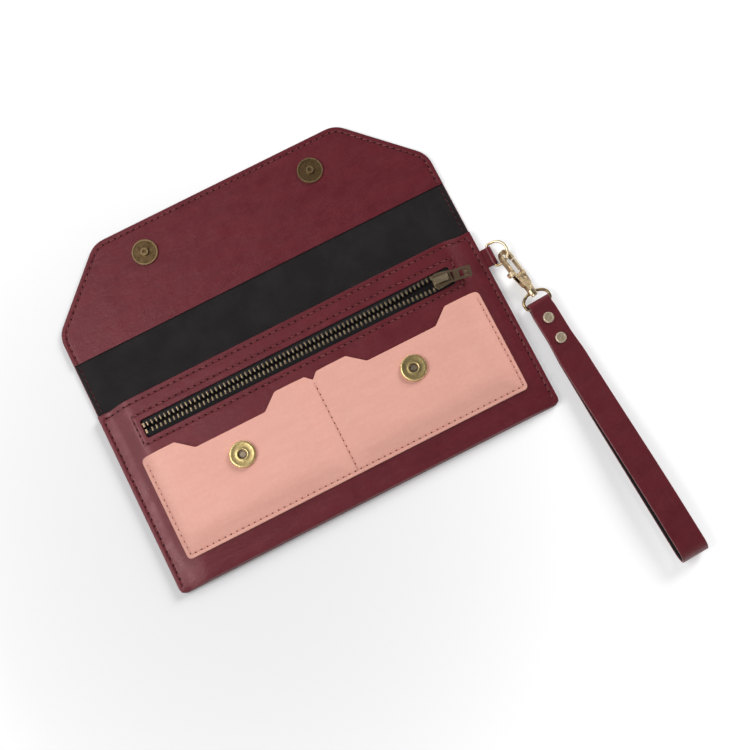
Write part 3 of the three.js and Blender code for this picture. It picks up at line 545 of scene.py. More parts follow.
def cloth(name, base, light):
    """Matt woven cloth with a short nap."""
    n = Nodes(name)
    at = n.coords("UV")
    warp, weft = [n.add("ShaderNodeTexWave", {"Vector": at, "Scale": 1.6, "Distortion": 0.6,
                                              "Detail": 1.0}, bands_direction=way).outputs["Fac"]
                  for way in "XY"]
    weave = n.math("MULTIPLY", warp, weft)
    nap = n.noise(at, 2.2, 4.0, 0.7)
    blotch = n.noise(at, 0.06, 4.0, 0.6)
    colour = n.mix(n.between(nap, 0.45, 0.8, 0, 0.6), base, light)
    colour = n.mix(n.between(blotch, 0.4, 0.7, 0, 0.35), colour, light)
    height = n.math("MULTIPLY_ADD", weave, 0.6, nap)
    return n.finish(Base_Color=colour, Roughness=0.92, Normal=n.bump(height, 0.05),
                    Specular_IOR_Level=0.15, Sheen_Weight=0.12, Sheen_Roughness=0.5)


def tape_cloth(name, base, light):
    """Twill tape: slanted ribs that turn at the middle of the tape."""
    n = Nodes(name)
    at = n.coords("UV")
    ribs = n.add("ShaderNodeTexWave", {"Vector": n.coords("UV", (1, 1, 1), 0.7), "Scale": 0.9,
                                       "Distortion": 0.2}).outputs["Fac"]
    nap = n.noise(at, 2.5, 3.0, 0.7)
    colour = n.mix(n.between(ribs, 0.2, 0.9, 0, 0.5), base, light)
    height = n.math("MULTIPLY_ADD", nap, 0.4, ribs)
    return n.finish(Base_Color=colour, Roughness=0.8, Normal=n.bump(height, 0.08),
                    Specular_IOR_Level=0.25)


def metal(name, base, dark, wear_and_highlight, rough=0.32, patina=0.5, metallic=1.0,
          dark_ridges=False):
    """Plated metal with an uneven antique finish: ridges lightened by wear and painted highlight, hollows
    darkened by patina and painted shade; dark_ridges swaps the two.
    """
    n = Nodes(name)
    at = n.coords("Object", (UNIT,) * 3)
    cloud = n.noise(at, 0.45, 5.0, 0.65)
    speck = n.noise(at, 3.5, 3.0, 0.6)
    clouds = n.between(cloud, 0.42, 0.68, 0, patina)
    share = n.math("MULTIPLY_ADD", n.between(speck, 0.5, 0.75), 0.25, clouds)
    edge = n.add("ShaderNodeNewGeometry").outputs["Pointiness"]
    if dark_ridges:
        edge = n.math("SUBTRACT", 1.0, edge)
    colour = n.mix(share, base, dark)
    # From the pointiness: hollows darkened as painted shade and patina, ridges lightened as painted
    # highlight and wear.
    colour = n.mix(n.between(edge, 0.4, 0.49, 0.85, 0), colour, dark)
    colour = n.mix(n.between(edge, 0.52, 0.6, 0, 0.8), colour, wear_and_highlight)
    shine = n.between(cloud, 0.3, 0.7, rough - 0.06, rough + 0.16)
    scratch = n.noise(n.coords("Object", (UNIT * 0.3, UNIT * 4, UNIT)), 1.2, 2.0)
    return n.finish(Base_Color=colour, Roughness=shine, Metallic=metallic,
                    Normal=n.bump(scratch, 0.012))


def plain_fibre(name, base, light, rough=0.7):
    """Waxed thread: twisted strands in two near shades."""
    n = Nodes(name)
    at = n.coords("Object", (UNIT,) * 3, 0.6)
    twist = n.add("ShaderNodeTexWave", {"Vector": at, "Scale": 0.9, "Distortion": 0.8}).outputs["Fac"]
    cloud = n.noise(at, 0.3, 3.0)
    colour = n.mix(n.between(cloud, 0.35, 0.7), base, light)
    return n.finish(Base_Color=colour, Roughness=rough, Normal=n.bump(twist, 0.05),
                    Specular_IOR_Level=0.25)


MAROON = leather("maroon_leather", srgb(91, 25, 34), srgb(62, 14, 21), srgb(112, 42, 50),
                 srgb(64, 17, 23))
MAROON_SOLID = leather("maroon_leather_solid", srgb(91, 25, 34), srgb(62, 14, 21), srgb(112, 42, 50),
                       srgb(64, 17, 23), "Object", UNIT)
STRAP_SKIN = leather("strap_leather", srgb(89, 26, 34), srgb(62, 16, 22), srgb(108, 40, 48),
                     srgb(142, 84, 84), invert=True)
EDGE_PAINT = leather("edge_paint", srgb(66, 18, 24), srgb(44, 10, 14), srgb(88, 34, 38),
                     srgb(50, 14, 18), rough=0.5, grain=0.12)
PINK = leather("pink_leather", srgb(222, 165, 150), srgb(210, 150, 136), srgb(234, 182, 168),
               srgb(204, 140, 126), rough=0.46, level=0.3, grain=0.04, tint=(1.0, 0.9, 0.88, 1.0))
BLACK_CLOTH = cloth("black_cloth", srgb(27, 24, 25), srgb(50, 46, 47))
STRAP_CLOTH = cloth("strap_cloth", srgb(26, 25, 26), srgb(46, 44, 45))
TAPE = tape_cloth("zip_tape", srgb(26, 25, 27), srgb(52, 51, 53))
ZIP_BRASS = metal("antique_brass", srgb(150, 132, 104), srgb(50, 38, 26), srgb(222, 200, 164),
                  0.34, 0.8)
PULL_BRASS = metal("pull_brass", srgb(112, 94, 76), srgb(46, 34, 26), srgb(186, 162, 132), 0.4, 0.7)
STUD_BRASS = metal("worn_brass", srgb(148, 122, 86), srgb(62, 46, 30), srgb(196, 172, 128), 0.38, 0.8)
# The teeth's brass is a lighter copy of the zip's brass: painted highlight on their faces.
TOOTH_HIGHLIGHT_BRASS = metal("tooth_highlight_brass", srgb(214, 196, 164), srgb(96, 78, 56), srgb(244, 230, 206),
                    0.34, dark_ridges=True)
CAP_BRASS = metal("cap_brass", srgb(204, 182, 128), srgb(158, 134, 84), srgb(226, 208, 162), 0.34, 0.6)
PALE_BRASS = metal("pale_brass", srgb(184, 156, 116), srgb(72, 56, 40), srgb(236, 216, 180),
                   0.28, 0.95)
RIVET_BRASS = metal("rivet_brass", srgb(190, 172, 146), srgb(128, 110, 86), srgb(248, 238, 220),
                    0.36, metallic=0.6)
STEEL = metal("steel", srgb(150, 132, 112), srgb(74, 62, 50), srgb(200, 184, 160), 0.36, 0.6)
FERRITE = metal("ferrite", srgb(46, 40, 34), srgb(24, 20, 17), srgb(70, 62, 54), 0.55)
MAROON_THREAD = plain_fibre("maroon_thread", srgb(104, 38, 44), srgb(146, 80, 76))
BAND_THREAD = plain_fibre("band_thread", srgb(56, 34, 35), srgb(86, 58, 56))
PINK_THREAD = plain_fibre("pink_thread", srgb(214, 156, 142), srgb(232, 180, 166))
# The needle holes' colours are painted shade in the holes.
HOLE_SHADE = plain_fibre("painted_hole_shade", srgb(42, 9, 14), srgb(58, 15, 21), 0.9)
PINK_HOLE_SHADE = plain_fibre("pink_painted_hole_shade", srgb(104, 56, 46), srgb(136, 82, 70), 0.9)


# The body's surfaces

BODY_PROBE = 0.15
SEAM_STOP = 4.5


def front_top(x, y):
    """Height of the front's outer face, as in the CAD."""
    side = smooth((HALF - np.abs(x) - SEAM_MARGIN) / SIDE_RISE)
    rise = BOTTOM_SHARE + (1 - BOTTOM_SHARE) * smooth(y / BOTTOM_RISE)
    return SEAM_HEIGHT + (CROWN - SEAM_HEIGHT) * side * rise


def eased(y, nose):
    """A run from the bottom fold, shifted near it by how much the fold's radius grows inwards."""
    return y + (nose - NOSE) * (1 - smooth((y - NOSE) / NOSE_EASE))


def body_outer(x, s):
    """The outer face of the body's leather at a place on its flat pattern."""
    nose = front_top(x, np.zeros_like(x)) / 2
    middle = front_top(x, nose) / 2
    turn = np.clip((s - FRONT_RUN) / (BACK_START - FRONT_RUN), 0, 1) * math.pi
    front, back = s < FRONT_RUN, s > BACK_START
    y_back = eased(s - BACK_START + NOSE, nose)
    y = np.where(front, eased(FRONT - s, nose), np.where(back, y_back, nose - nose * np.sin(turn)))
    z = np.where(front, front_top(x, y), np.where(back, 0.0, middle + middle * np.cos(turn)))
    return np.stack([x, y, z], 1)


def body_place(flat, h):
    """A point of the body's leather at height h above its inner face."""
    x, s = flat[:, 0], flat[:, 1]
    at = body_outer(x, s)
    across = body_outer(x + BODY_PROBE, s) - body_outer(x - BODY_PROBE, s)
    along = body_outer(x, s + BODY_PROBE) - body_outer(x, s - BODY_PROBE)
    out = np.cross(along, across)
    out /= np.linalg.norm(out, axis=1)[:, None]
    return at - out * (LEATHER - np.asarray(h)[..., None])


def on_top(place, thickness):
    """Places stitches at heights measured from a sheet's upper face."""
    return lambda flat, h: place(flat, thickness + np.asarray(h))


def back_s(y):
    return y - NOSE + BACK_START


def flap_corners(start, shift=0.0):
    end = FLAP_END + shift
    side = FLAP_END - FLAP_CHAMFER + shift
    return [(-HALF, start, 0), (HALF, start, 0), (HALF, side, FLAP_CORNER),
            (HALF - FLAP_CHAMFER, end, FLAP_CORNER), (FLAP_CHAMFER - HALF, end, FLAP_CORNER),
            (-HALF, side, FLAP_CORNER)]


def body_outline():
    """The flat pattern's outline, drawn in at the bottom fold's corners."""
    loop = rounded_polygon(flap_corners(0, back_s(0)))
    place = body_outer(np.full(len(loop), HALF), loop[:, 1])[:, 1]
    near = (loop[:, 1] < BACK_START + BODY_CORNER) & (place < BODY_CORNER)
    short = BODY_CORNER - np.sqrt(np.maximum(BODY_CORNER ** 2 - (BODY_CORNER - place) ** 2, 0))
    loop[:, 0] *= np.where(near & (np.abs(loop[:, 0]) > HALF - 0.01), (HALF - short) / HALF, 1)
    return loop


def open_run(loop, keep):
    """The part of a loop where keep is true, as one open line."""
    spots = np.flatnonzero(keep)
    gaps = np.flatnonzero(np.diff(spots) > 1)
    if len(gaps):
        spots = np.concatenate([spots[gaps[0] + 1:], spots[:gaps[0] + 1]])
    return loop[spots]


outline = body_outline()
seam_loop = inset(outline, SEAM_INSET)
front_seam = open_run(seam_loop, seam_loop[:, 1] < FRONT - SEAM_STOP)
back_seam = open_run(seam_loop, seam_loop[:, 1] > back_s(SEAM_STOP))
box_seam = sample_polyline([(-BOX_HALF, FRONT - BOX_HIGH), (BOX_HALF, FRONT - BOX_HIGH),
                            (BOX_HALF, FRONT - BOX_LOW), (-BOX_HALF, FRONT - BOX_LOW)], OUTLINE_STEP)
window = rectangle(-WINDOW_HALF, WINDOW_HALF, FRONT - ZIP_Y - WINDOW_HEIGHT / 2,
                   FRONT - ZIP_Y + WINDOW_HEIGHT / 2, WINDOW_CORNER)

body_leather = sheet("body_leather", [outline, window], body_place, LEATHER, MAROON,
                     [(front_seam, False), (back_seam, False), (box_seam, True)])
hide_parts("outer_shell", "flap_outer")

box_line = np.vstack([box_seam, box_seam[:1]])
front_stitches = stitches("front_stitches", [front_seam, box_line], on_top(body_place, LEATHER),
                          STITCH_PITCH, MAROON_THREAD, HOLE_SHADE)
back_stitches = stitches("back_stitches", [back_seam], on_top(body_place, LEATHER),
                         STITCH_PITCH, MAROON_THREAD, HOLE_SHADE, radius=0.22)


def flat_place(low):
    """Places a sheet whose underside lies at a height that low(x, y) gives."""
    def place(flat, h):
        x, y = flat[:, 0], flat[:, 1]
        return np.stack([x, y, low(x, y) + h], 1)
    return place


def flat_at(z):
    """Places a flat sheet whose underside lies at one height."""
    return flat_place(lambda x, y: np.full(len(x), z))


# The side seams' painted edges, between the two leathers

CORE_IN = HALF - SEAM_MARGIN
CORE_OUT = HALF - 0.35
CORE_LOW = 1.2
CORE_HIGH = FRONT - 0.4
CORE_CORNER = 0.4
core_ends = {"left": (-CORE_OUT, -CORE_IN, CORE_LOW, CORE_HIGH),
             "right_low": (CORE_IN, CORE_OUT, CORE_LOW, TAB_Y - TAB_HALF),
             "right_high": (CORE_IN, CORE_OUT, TAB_Y + TAB_HALF, CORE_HIGH)}

for key, ends in core_ends.items():
    core = sheet(f"side_core_{key}", [rectangle(*ends, CORE_CORNER)], flat_at(LEATHER),
                 SEAM_HEIGHT - 2 * LEATHER, EDGE_PAINT, rim=0.3, rings=(0.15, 0.4, 0.9))
    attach(core, "wallet_body")

# Linings

LINING_SIDE = HALF - 0.5
LINING_IN = HALF - SEAM_MARGIN - 0.3
LINING_LOW = 6.0
LINING_END = FACING_START + FACING_LAP
BAND_LOW = 104.2
BAND_SEAM_LOW = BAND_LOW + 0.6
BAND_SEAM_HIGH = FACING_START - 0.4
BAND_GROOVE = 0.1
SEAM_X = HALF - SEAM_INSET
lining_outline = rounded_polygon([
    (-LINING_IN, LINING_LOW, 0), (LINING_IN, LINING_LOW, 0), (LINING_IN, BAND_LOW, 0),
    (LINING_SIDE, BAND_LOW, 0), (LINING_SIDE, LINING_END, 0), (-LINING_SIDE, LINING_END, 0),
    (-LINING_SIDE, BAND_LOW, 0), (-LINING_IN, BAND_LOW, 0)])
band_seams = [sample_polyline([(x, BAND_SEAM_LOW), (x, BAND_SEAM_HIGH)], OUTLINE_STEP, closed=False)
              for x in (-SEAM_X, SEAM_X)]
inner_lining = sheet("inner_lining", [lining_outline], flat_at(LEATHER + LAYER_GAP), LINING,
                     BLACK_CLOTH, [(line, False) for line in band_seams], rim=0.1,
                     rings=(0.1, 0.3, 0.8), groove=BAND_GROOVE)
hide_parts("back_lining", "flap_lining")


# The flap's facing

FACING_SKIN = 0.62
FACING_SEAM_LOW = FACING_START + 0.6
FACING_SEAM_FROM = FACING_START + SEAM_INSET + 0.5
LAP_RUN = 2
LAP_SHARE = 0.12


def facing_place(flat, h):
    """A point of the facing's skin, raised a little where it laps over the lining's end."""
    x, y = flat[:, 0], flat[:, 1]
    lap = 1 - smooth((y - LINING_END) / LAP_RUN)
    under = LAYER_GAP + (LINING + LAYER_GAP) * lap
    return np.stack([x, y, FACING_TOP + LAP_SHARE * under - FACING_SKIN + h], 1)


facing_outline = rounded_polygon(flap_corners(FACING_START))
facing_outline[:, 0] *= (HALF - 0.1) / HALF
facing_loop = inset(facing_outline, SEAM_INSET)
facing_seam = open_run(facing_loop, facing_loop[:, 1] > FACING_SEAM_FROM)
facing_seam = np.vstack([(facing_seam[0][0], FACING_SEAM_LOW), facing_seam,
                         (facing_seam[-1][0], FACING_SEAM_LOW)])
flap_facing = sheet("flap_facing_skin", [facing_outline], facing_place, FACING_SKIN, MAROON,
                    [(facing_seam, False)], rim=0.25)
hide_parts("flap_facing")
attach(flap_facing, "flap")

band_stitches = stitches("band_stitches", band_seams, flat_at(LEATHER + LAYER_GAP + LINING),
                         STITCH_PITCH, BAND_THREAD, HOLE_SHADE, radius=0.24, groove=BAND_GROOVE)
facing_stitches = stitches("facing_stitches", [facing_seam], on_top(facing_place, FACING_SKIN),
                           STITCH_PITCH, MAROON_THREAD, HOLE_SHADE)
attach(facing_stitches, "flap")

# The card panel

PANEL_SEAT = 0.08
PANEL_GROOVE = 0.14
PANEL_STEP = 1.1
PANEL_CORNER = 3
PANEL_SEAM_TOP = PANEL_TOP - 3.5
PANEL_SEAM_BAND = 6
HELD_HALF = 2.6
LIFT_RUN = 9


def panel_outline():
    centre = PANEL_HALF / 2 + NOTCH_SHIFT
    low = PANEL_TOP - NOTCH_DEPTH
    right = [(0, PANEL_TOP - CENTRE_NOTCH, 0.6), (CENTRE_NOTCH, PANEL_TOP, 2),
             (centre - NOTCH_TOP / 2, PANEL_TOP, PANEL_CORNER),
             (centre - NOTCH_BOTTOM / 2, low, PANEL_CORNER),
             (centre + NOTCH_BOTTOM / 2, low, PANEL_CORNER),
             (centre + NOTCH_TOP / 2, PANEL_TOP, PANEL_CORNER), (PANEL_HALF, PANEL_TOP, PANEL_CORNER)]
    left = [(-x, y, r) for x, y, r in right[:0:-1]]
    foot = [(side * PANEL_HALF, PANEL_BOTTOM, PANEL_CORNER) for side in (1, -1)]
    return rounded_polygon((left + right + foot)[::-1], PANEL_STEP)


panel_loop = panel_outline()
panel_ring = inset(panel_loop, PANEL_INSET)
ring_x, ring_y = np.abs(panel_ring[:, 0]), panel_ring[:, 1]
by_edge = (ring_x > PANEL_HALF - PANEL_SEAM_BAND) | (ring_y < PANEL_BOTTOM + PANEL_SEAM_BAND)
panel_seam = open_run(panel_ring, by_edge & (ring_y < PANEL_SEAM_TOP))
centre_seam = sample_polyline([(0, PANEL_BOTTOM + PANEL_INSET), (0, PANEL_TOP - CENTRE_NOTCH - 2)],
                              PANEL_STEP, closed=False)
panel_seams = [(panel_seam, False), (centre_seam, False)]
held_corners = [[(-PANEL_HALF, PANEL_TOP), (-PANEL_HALF, PANEL_BOTTOM), (PANEL_HALF, PANEL_BOTTOM),
                 (PANEL_HALF, PANEL_TOP)], [(0, PANEL_BOTTOM), (0, PANEL_TOP)]]
held_lines = [(sample_polyline(line, 2.0, closed=False), False) for line in held_corners]


def panel_low(x, y):
    """Height of the card panel's underside: held down at its seams, lifted in between."""
    held = distance(np.stack([x, y], 1), held_lines)
    lift = smooth((held - HELD_HALF) / LIFT_RUN)
    return front_top(x, y) + PANEL_SEAT + (PANEL_FACE - PANEL_LEATHER - PANEL_SEAT) * lift


panel_place = flat_place(panel_low)
card_panel = sheet("card_panel_skin", [panel_loop], panel_place, PANEL_LEATHER, PINK, panel_seams,
                   spacing=2.2, groove=PANEL_GROOVE)
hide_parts("card_panel")
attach(card_panel, "wallet_body")
panel_stitches = stitches("panel_stitches", [panel_seam, centre_seam],
                          on_top(panel_place, PANEL_LEATHER), PANEL_PITCH, PINK_THREAD, PINK_HOLE_SHADE,
                          radius=0.22, groove=PANEL_GROOVE, hole_half=0.36, hole_long=0.8)
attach(panel_stitches, "wallet_body")

# Bill divider and coin pocket, hung below the front

HUNG = {"rim": 0.1, "rings": (0.15, 0.5), "spacing": 4}
HEM_Y = FRONT - 4.3
MOUTH_GAP = 0.25
PINCH_RUN = 3


def below_front(depth, extra=lambda x, y: 0):
    """Places a cloth whose upper face hangs at a depth below the front's outer face."""
    return flat_place(lambda x, y: front_top(x, y) - (depth + LINING) - extra(x, y))


divider_outline = rectangle(-DIVIDER_SIDE, DIVIDER_SIDE, DIVIDER_BOTTOM, FRONT - 0.3, 2)
hem_line = sample_polyline([(-DIVIDER_SIDE + 2, HEM_Y), (DIVIDER_SIDE - 2, HEM_Y)], 1.5, closed=False)
divider = sheet("bill_divider_cloth", [divider_outline], below_front(DIVIDER_DEPTH), LINING,
                BLACK_CLOTH, [(hem_line, False)], groove=0.08, **HUNG)
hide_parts("bill_divider")
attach(divider, "wallet_body")

coin_loop = rectangle(-COIN_SIDE, COIN_SIDE, COIN_BOTTOM, COIN_TOP, 6)
mouth_half = TAPE_END + MOUTH_GAP
mouth_reach = TAPE_REACH + MOUTH_GAP
coin_mouth = rectangle(-mouth_half, mouth_half, ZIP_Y - mouth_reach, ZIP_Y + mouth_reach, 1)
sewn_shift = (COIN_BACK_DEPTH - COIN_FRONT_DEPTH) / 2 - LINING / 2


def pinch(x, y):
    """1 at the coin pocket's sewn edge and 0 inside it."""
    return 1 - smooth(distance(np.stack([x, y], 1), [(coin_loop, True)]) / PINCH_RUN)


coin_front = sheet("coin_pocket_front", [coin_loop, coin_mouth],
                   below_front(COIN_FRONT_DEPTH, lambda x, y: sewn_shift * pinch(x, y)), LINING,
                   BLACK_CLOTH, **HUNG)
coin_back = sheet("coin_pocket_back", [coin_loop],
                  below_front(COIN_BACK_DEPTH, lambda x, y: -sewn_shift * pinch(x, y)), LINING,
                  BLACK_CLOTH, **HUNG)
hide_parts("coin_pocket")
for piece in (coin_front, coin_back):
    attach(piece, "wallet_body")

# Zip

SPREAD_START = 52.0
SPREAD_END = 79.0
SPREAD_BACK = 87.0
SPREAD = 1.3
TOOTH_TIP = 0.56
ROW_START = -TOOTH_PITCH * TOOTH_COUNT / 2


def spread(x):
    """How far each row stands off its usual line where the chain opens towards the slider."""
    return SPREAD * smooth((x - SPREAD_START) / (SPREAD_END - SPREAD_START)) \
        * (1 - smooth((x - SPREAD_END) / (SPREAD_BACK - SPREAD_END)))


# Across the tape, from the bead out: distance from the zip's middle, height of the tape's middle
TAPE_LINE = [(1.5, 0.0), (1.7, 0.0), (2.3, 0.0), (2.9, 0.0), (3.3, -0.12), (3.8, -0.6), (4.4, -1.25),
             (4.9, -TAPE_DROP), (6.5, -TAPE_DROP), (8.5, -TAPE_DROP), (TAPE_REACH - 0.1, -TAPE_DROP),
             (TAPE_REACH, -TAPE_DROP)]
TAPE_THICK = [0.12, 0.3, 0.42, 0.36, 0.25, 0.25, 0.25, 0.25, 0.25, 0.25, 0.2, 0.1]


BEND_START = 2.9
BEND_END = 4.9


def zip_tape(side, name):
    xs = np.linspace(-TAPE_END, TAPE_END, 120)
    upper = [(o, z + t) for (o, z), t in zip(TAPE_LINE, TAPE_THICK)]
    lower = [(o, z - t) for (o, z), t in zip(TAPE_LINE, TAPE_THICK)]
    off, high = np.array(upper + lower[::-1]).T
    ease = 1 - smooth((off - BEND_START) / (BEND_END - BEND_START))
    points, flat = [], []
    for x in xs:
        past = 1 - smooth((WINDOW_HALF + 0.5 - abs(x)) / 1.5)
        z = CROWN + high + np.where(off < BEND_END, -past * TAPE_DROP, 0)
        across = np.full(len(off), x)
        points.append(np.stack([across, ZIP_Y + side * (off + spread(x) * ease), z], 1))
        flat.append(np.stack([across, off], 1))
    return make(f"zip_tape_{name}_cloth", np.vstack(points), tube(len(xs), len(off)), TAPE,
                np.vstack(flat), sharp=50)


# One tooth from tip to clamp: distance from the tip, half width along the zip, half height
TOOTH = [(0.0, 0.26, 0.42), (0.1, 0.46, 0.66), (0.45, 0.56, 0.8), (0.85, 0.5, 0.76), (1.15, 0.52, 0.9),
         (1.4, 0.6, 1.04), (2.15, 0.62, 1.1), (2.42, 0.54, 1.0), (2.5, 0.4, 0.8)]
TOOTH_SIDES = 10
TOOTH_SQUARE = 0.55


def tooth_points(x, side):
    angles = 2 * math.pi * (np.arange(TOOTH_SIDES) + 0.5) / TOOTH_SIDES
    c, s = np.cos(angles), np.sin(angles)
    c, s = [np.sign(v) * np.abs(v) ** TOOTH_SQUARE for v in (c, s)]
    off = TOOTH_TIP + spread(x)
    return np.vstack([np.stack([x + w * c, np.full(TOOTH_SIDES, ZIP_Y + side * (off + o)),
                                CROWN + h * s], 1) for o, w, h in TOOTH])


def teeth(side, name):
    count = TOOTH_COUNT if side > 0 else TOOTH_COUNT - 1
    start = ROW_START + (0 if side > 0 else TOOTH_PITCH / 2) + TOOTH_PITCH / 2
    points = [tooth_points(start + i * TOOTH_PITCH, side) for i in range(count)]
    return make(f"zip_row_{name}", np.vstack(points), tubes(count, len(TOOTH), TOOTH_SIDES),
                TOOTH_HIGHLIGHT_BRASS, sharp=50)


for side, name in ((1, "upper"), (-1, "lower")):
    tape = zip_tape(side, name)
    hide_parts(f"zip_tape_{name}")
    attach(tape, "wallet_body")
    row = teeth(side, name)
    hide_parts(f"zip_teeth_{name}")
    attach(row, "wallet_body")

# Strap: one band of leather with its lining, looped through the eye

WAIST_START = 1
WAIST_RUN = 4
REST_START = 19
REST_RUN = 15
EDGE_BACK = 0.3


def strap_line(inset_by):
    """The band's closed line as (along, height), from the eye's underside round the loop."""
    drop = STRAP_AT[2]
    radius = LOOP_HEIGHT / 2
    end_at = STRAP_LENGTH - FOLD_RADIUS - radius
    s = np.concatenate([np.linspace(0.6, PRESS_END, 20),
                        np.linspace(PRESS_END + 1.5, end_at - 0.5, 84)])
    press = FOLD_RADIUS + (PRESS_HALF - FOLD_RADIUS) * smooth(s / PRESS_START)
    top = press + (LOOP_HEIGHT - drop - PRESS_HALF) * smooth((s - PRESS_END) / (LOOP_OPEN_END - PRESS_END))
    low = -press - (drop - PRESS_HALF) * smooth((s - PRESS_END) / (LOOP_REST - PRESS_END))
    turn = np.linspace(-math.pi / 2, math.pi / 2, 15)
    small = (FOLD_RADIUS - inset_by) * np.stack([np.cos(turn), np.sin(turn)], 1)
    turn = np.linspace(math.pi / 2, 3 * math.pi / 2, 25)
    large = (radius - inset_by) * np.stack([np.cos(turn), np.sin(turn)], 1) + (-end_at, radius - drop)
    over = np.stack([-s, top - inset_by], 1)
    under = np.stack([-s, low + inset_by], 1)[::-1]
    return np.vstack([small, over, large, under])


def strap_half(y):
    """Half the band's width: clear of the eye's wire at the fold, then widening in two steps."""
    waist = (STRAP_WAIST_HALF - STRAP_END_HALF) * smooth((-y - WAIST_START) / WAIST_RUN)
    rest = (STRAP_HALF - STRAP_WAIST_HALF) * smooth((-y - REST_START) / REST_RUN)
    return STRAP_END_HALF + waist + rest


# Round the band's section: share across the width, depth share, and how far in from the corner
BAND_SECTION = [(-1, 0.0, 0.8), (-0.5, 0.0, 0.0), (0.0, 0.0, 0.0), (0.5, 0.0, 0.0), (1, 0.0, 0.8),
                (1, 0.0, 0.35), (1, 0.14, 0.08), (1, 0.35, 0.0), (1, 0.65, 0.0), (1, 0.86, 0.08),
                (1, 1.0, 0.35), (1, 1.0, 0.8), (0.0, 1.0, 0.0), (-1, 1.0, 0.8), (-1, 1.0, 0.35),
                (-1, 0.86, 0.08), (-1, 0.65, 0.0), (-1, 0.35, 0.0), (-1, 0.14, 0.08), (-1, 0.0, 0.35)]


def strap_band(name, near, far, narrower, material):
    outer, inner = strap_line(near), strap_line(far)
    half = strap_half(outer[:, 0]) - narrower
    length = np.concatenate([[0], np.cumsum(np.linalg.norm(np.diff(outer, axis=0), axis=1))])
    points, flat, rim = [], [], []
    for (y0, z0), (y1, z1), w, at in zip(outer, inner, half, length):
        for u, depth, back in BAND_SECTION:
            x = u * (w - back) if abs(u) == 1 else u * w
            points.append((x, y0 + (y1 - y0) * depth, z0 + (z1 - z0) * depth))
            flat.append((x, at))
            rim.append(1.0 if abs(u) == 1 and back < EDGE_BACK else 0.0)
    points = np.array(points)
    c, s = math.cos(STRAP_TILT), math.sin(STRAP_TILT)
    tilted = np.stack([points[:, 0] * c - points[:, 1] * s, points[:, 0] * s + points[:, 1] * c,
                       points[:, 2]], 1) + np.array(STRAP_AT)
    faces = tube(len(outer), len(BAND_SECTION), closed=True)
    weights = {"rim": rim, "seam": np.zeros(len(rim))}
    return make(name, tilted, faces, material, np.array(flat), weights, sharp=60)


strap_skin = strap_band("strap_skin", 0.0, STRAP_LEATHER, 0.0, STRAP_SKIN)
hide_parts("strap_outer")
lining_near = STRAP_LEATHER + LAYER_GAP
strap_cloth = strap_band("strap_lining_cloth", lining_near, lining_near + STRAP_LINING, 0.25,
                         STRAP_CLOTH)
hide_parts("strap_lining")
for piece in (strap_skin, strap_cloth):
    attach(piece, "strap")

# CAD nodes that stay: finish and softened edges

WELD_REACH = 2e-6
TURNED_SIDES = 72


def soften(node, material, width=0.12, angle=28):
    """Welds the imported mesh's split corners, rounds its sharp edges and gives it its finish."""
    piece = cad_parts[node]
    for holder in piece.material_slots:
        holder.material = material
    piece.data.shade_smooth()
    weld = piece.modifiers.new("weld", "WELD")
    weld.merge_threshold = WELD_REACH
    flatten = piece.modifiers.new("flatten", "DECIMATE")
    flatten.decimate_type = "DISSOLVE"
    flatten.angle_limit = math.radians(1)
    bevel = piece.modifiers.new("round", "BEVEL")
    bevel.width = width * MILLIMETRE
    bevel.segments = 2
    bevel.limit_method = "ANGLE"
    bevel.angle_limit = math.radians(angle)
    shade = piece.modifiers.new("shade", "WEIGHTED_NORMAL")
    shade.keep_sharp = True


def node_box(node):
    """The lowest and highest corner of a node, in millimetres."""
    return [np.array(corner) / MILLIMETRE + (0, ROW_Y, 0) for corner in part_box(node)]


def turned(name, node, profile, material, body, ring=False):
    """A turned piece for a node: its profile is (share of the radius, height, from the top or not)."""
    low, high = node_box(node)
    middle, radius = (low + high) / 2, (high[0] - low[0]) / 2
    angles = 2 * math.pi * np.arange(TURNED_SIDES) / TURNED_SIDES
    rings = []
    for share, height, from_top in profile:
        z = high[2] - height if from_top else low[2] + height
        r = share * radius
        rings.append(np.stack([middle[0] + r * np.cos(angles), middle[1] + r * np.sin(angles),
                               np.full(TURNED_SIDES, z)], 1))
    faces = tube(len(profile), TURNED_SIDES, closed=ring)
    made = make(name, np.vstack(rings), faces, material, sharp=40)
    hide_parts(node)
    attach(made, body)


CAP_PROFILE = [(0.94, 0, False), (0.99, 0.1, False), (1, 0.3, False), (1, 0.6, True), (0.985, 0.3, True),
               (0.95, 0.1, True), (0.9, 0.01, True), (0.84, 0, True), (0.8, 0.06, True), (0.6, 0.1, True),
               (0.47, 0.1, True), (0.44, 0.03, True), (0.41, 0, True), (0.37, 0.05, True),
               (0.345, 0.25, True), (0.338, 0.5, True), (0.338, 0, False)]
RIVET_PROFILE = [(0.01, 0, False), (0.6, 0, False), (0.86, 0.2, False), (1, 0.7, False), (1, 1.1, False),
                 (0.4, 1.1, False), (0.4, 1.1, True), (0.97, 1.1, True), (1, 0.9, True), (0.97, 0.55, True),
                 (0.88, 0.24, True), (0.76, 0.12, True), (0.69, 0.14, True), (0.64, 0.24, True),
                 (0.6, 0.26, True), (0.3, 0.18, True), (0.01, 0.16, True)]

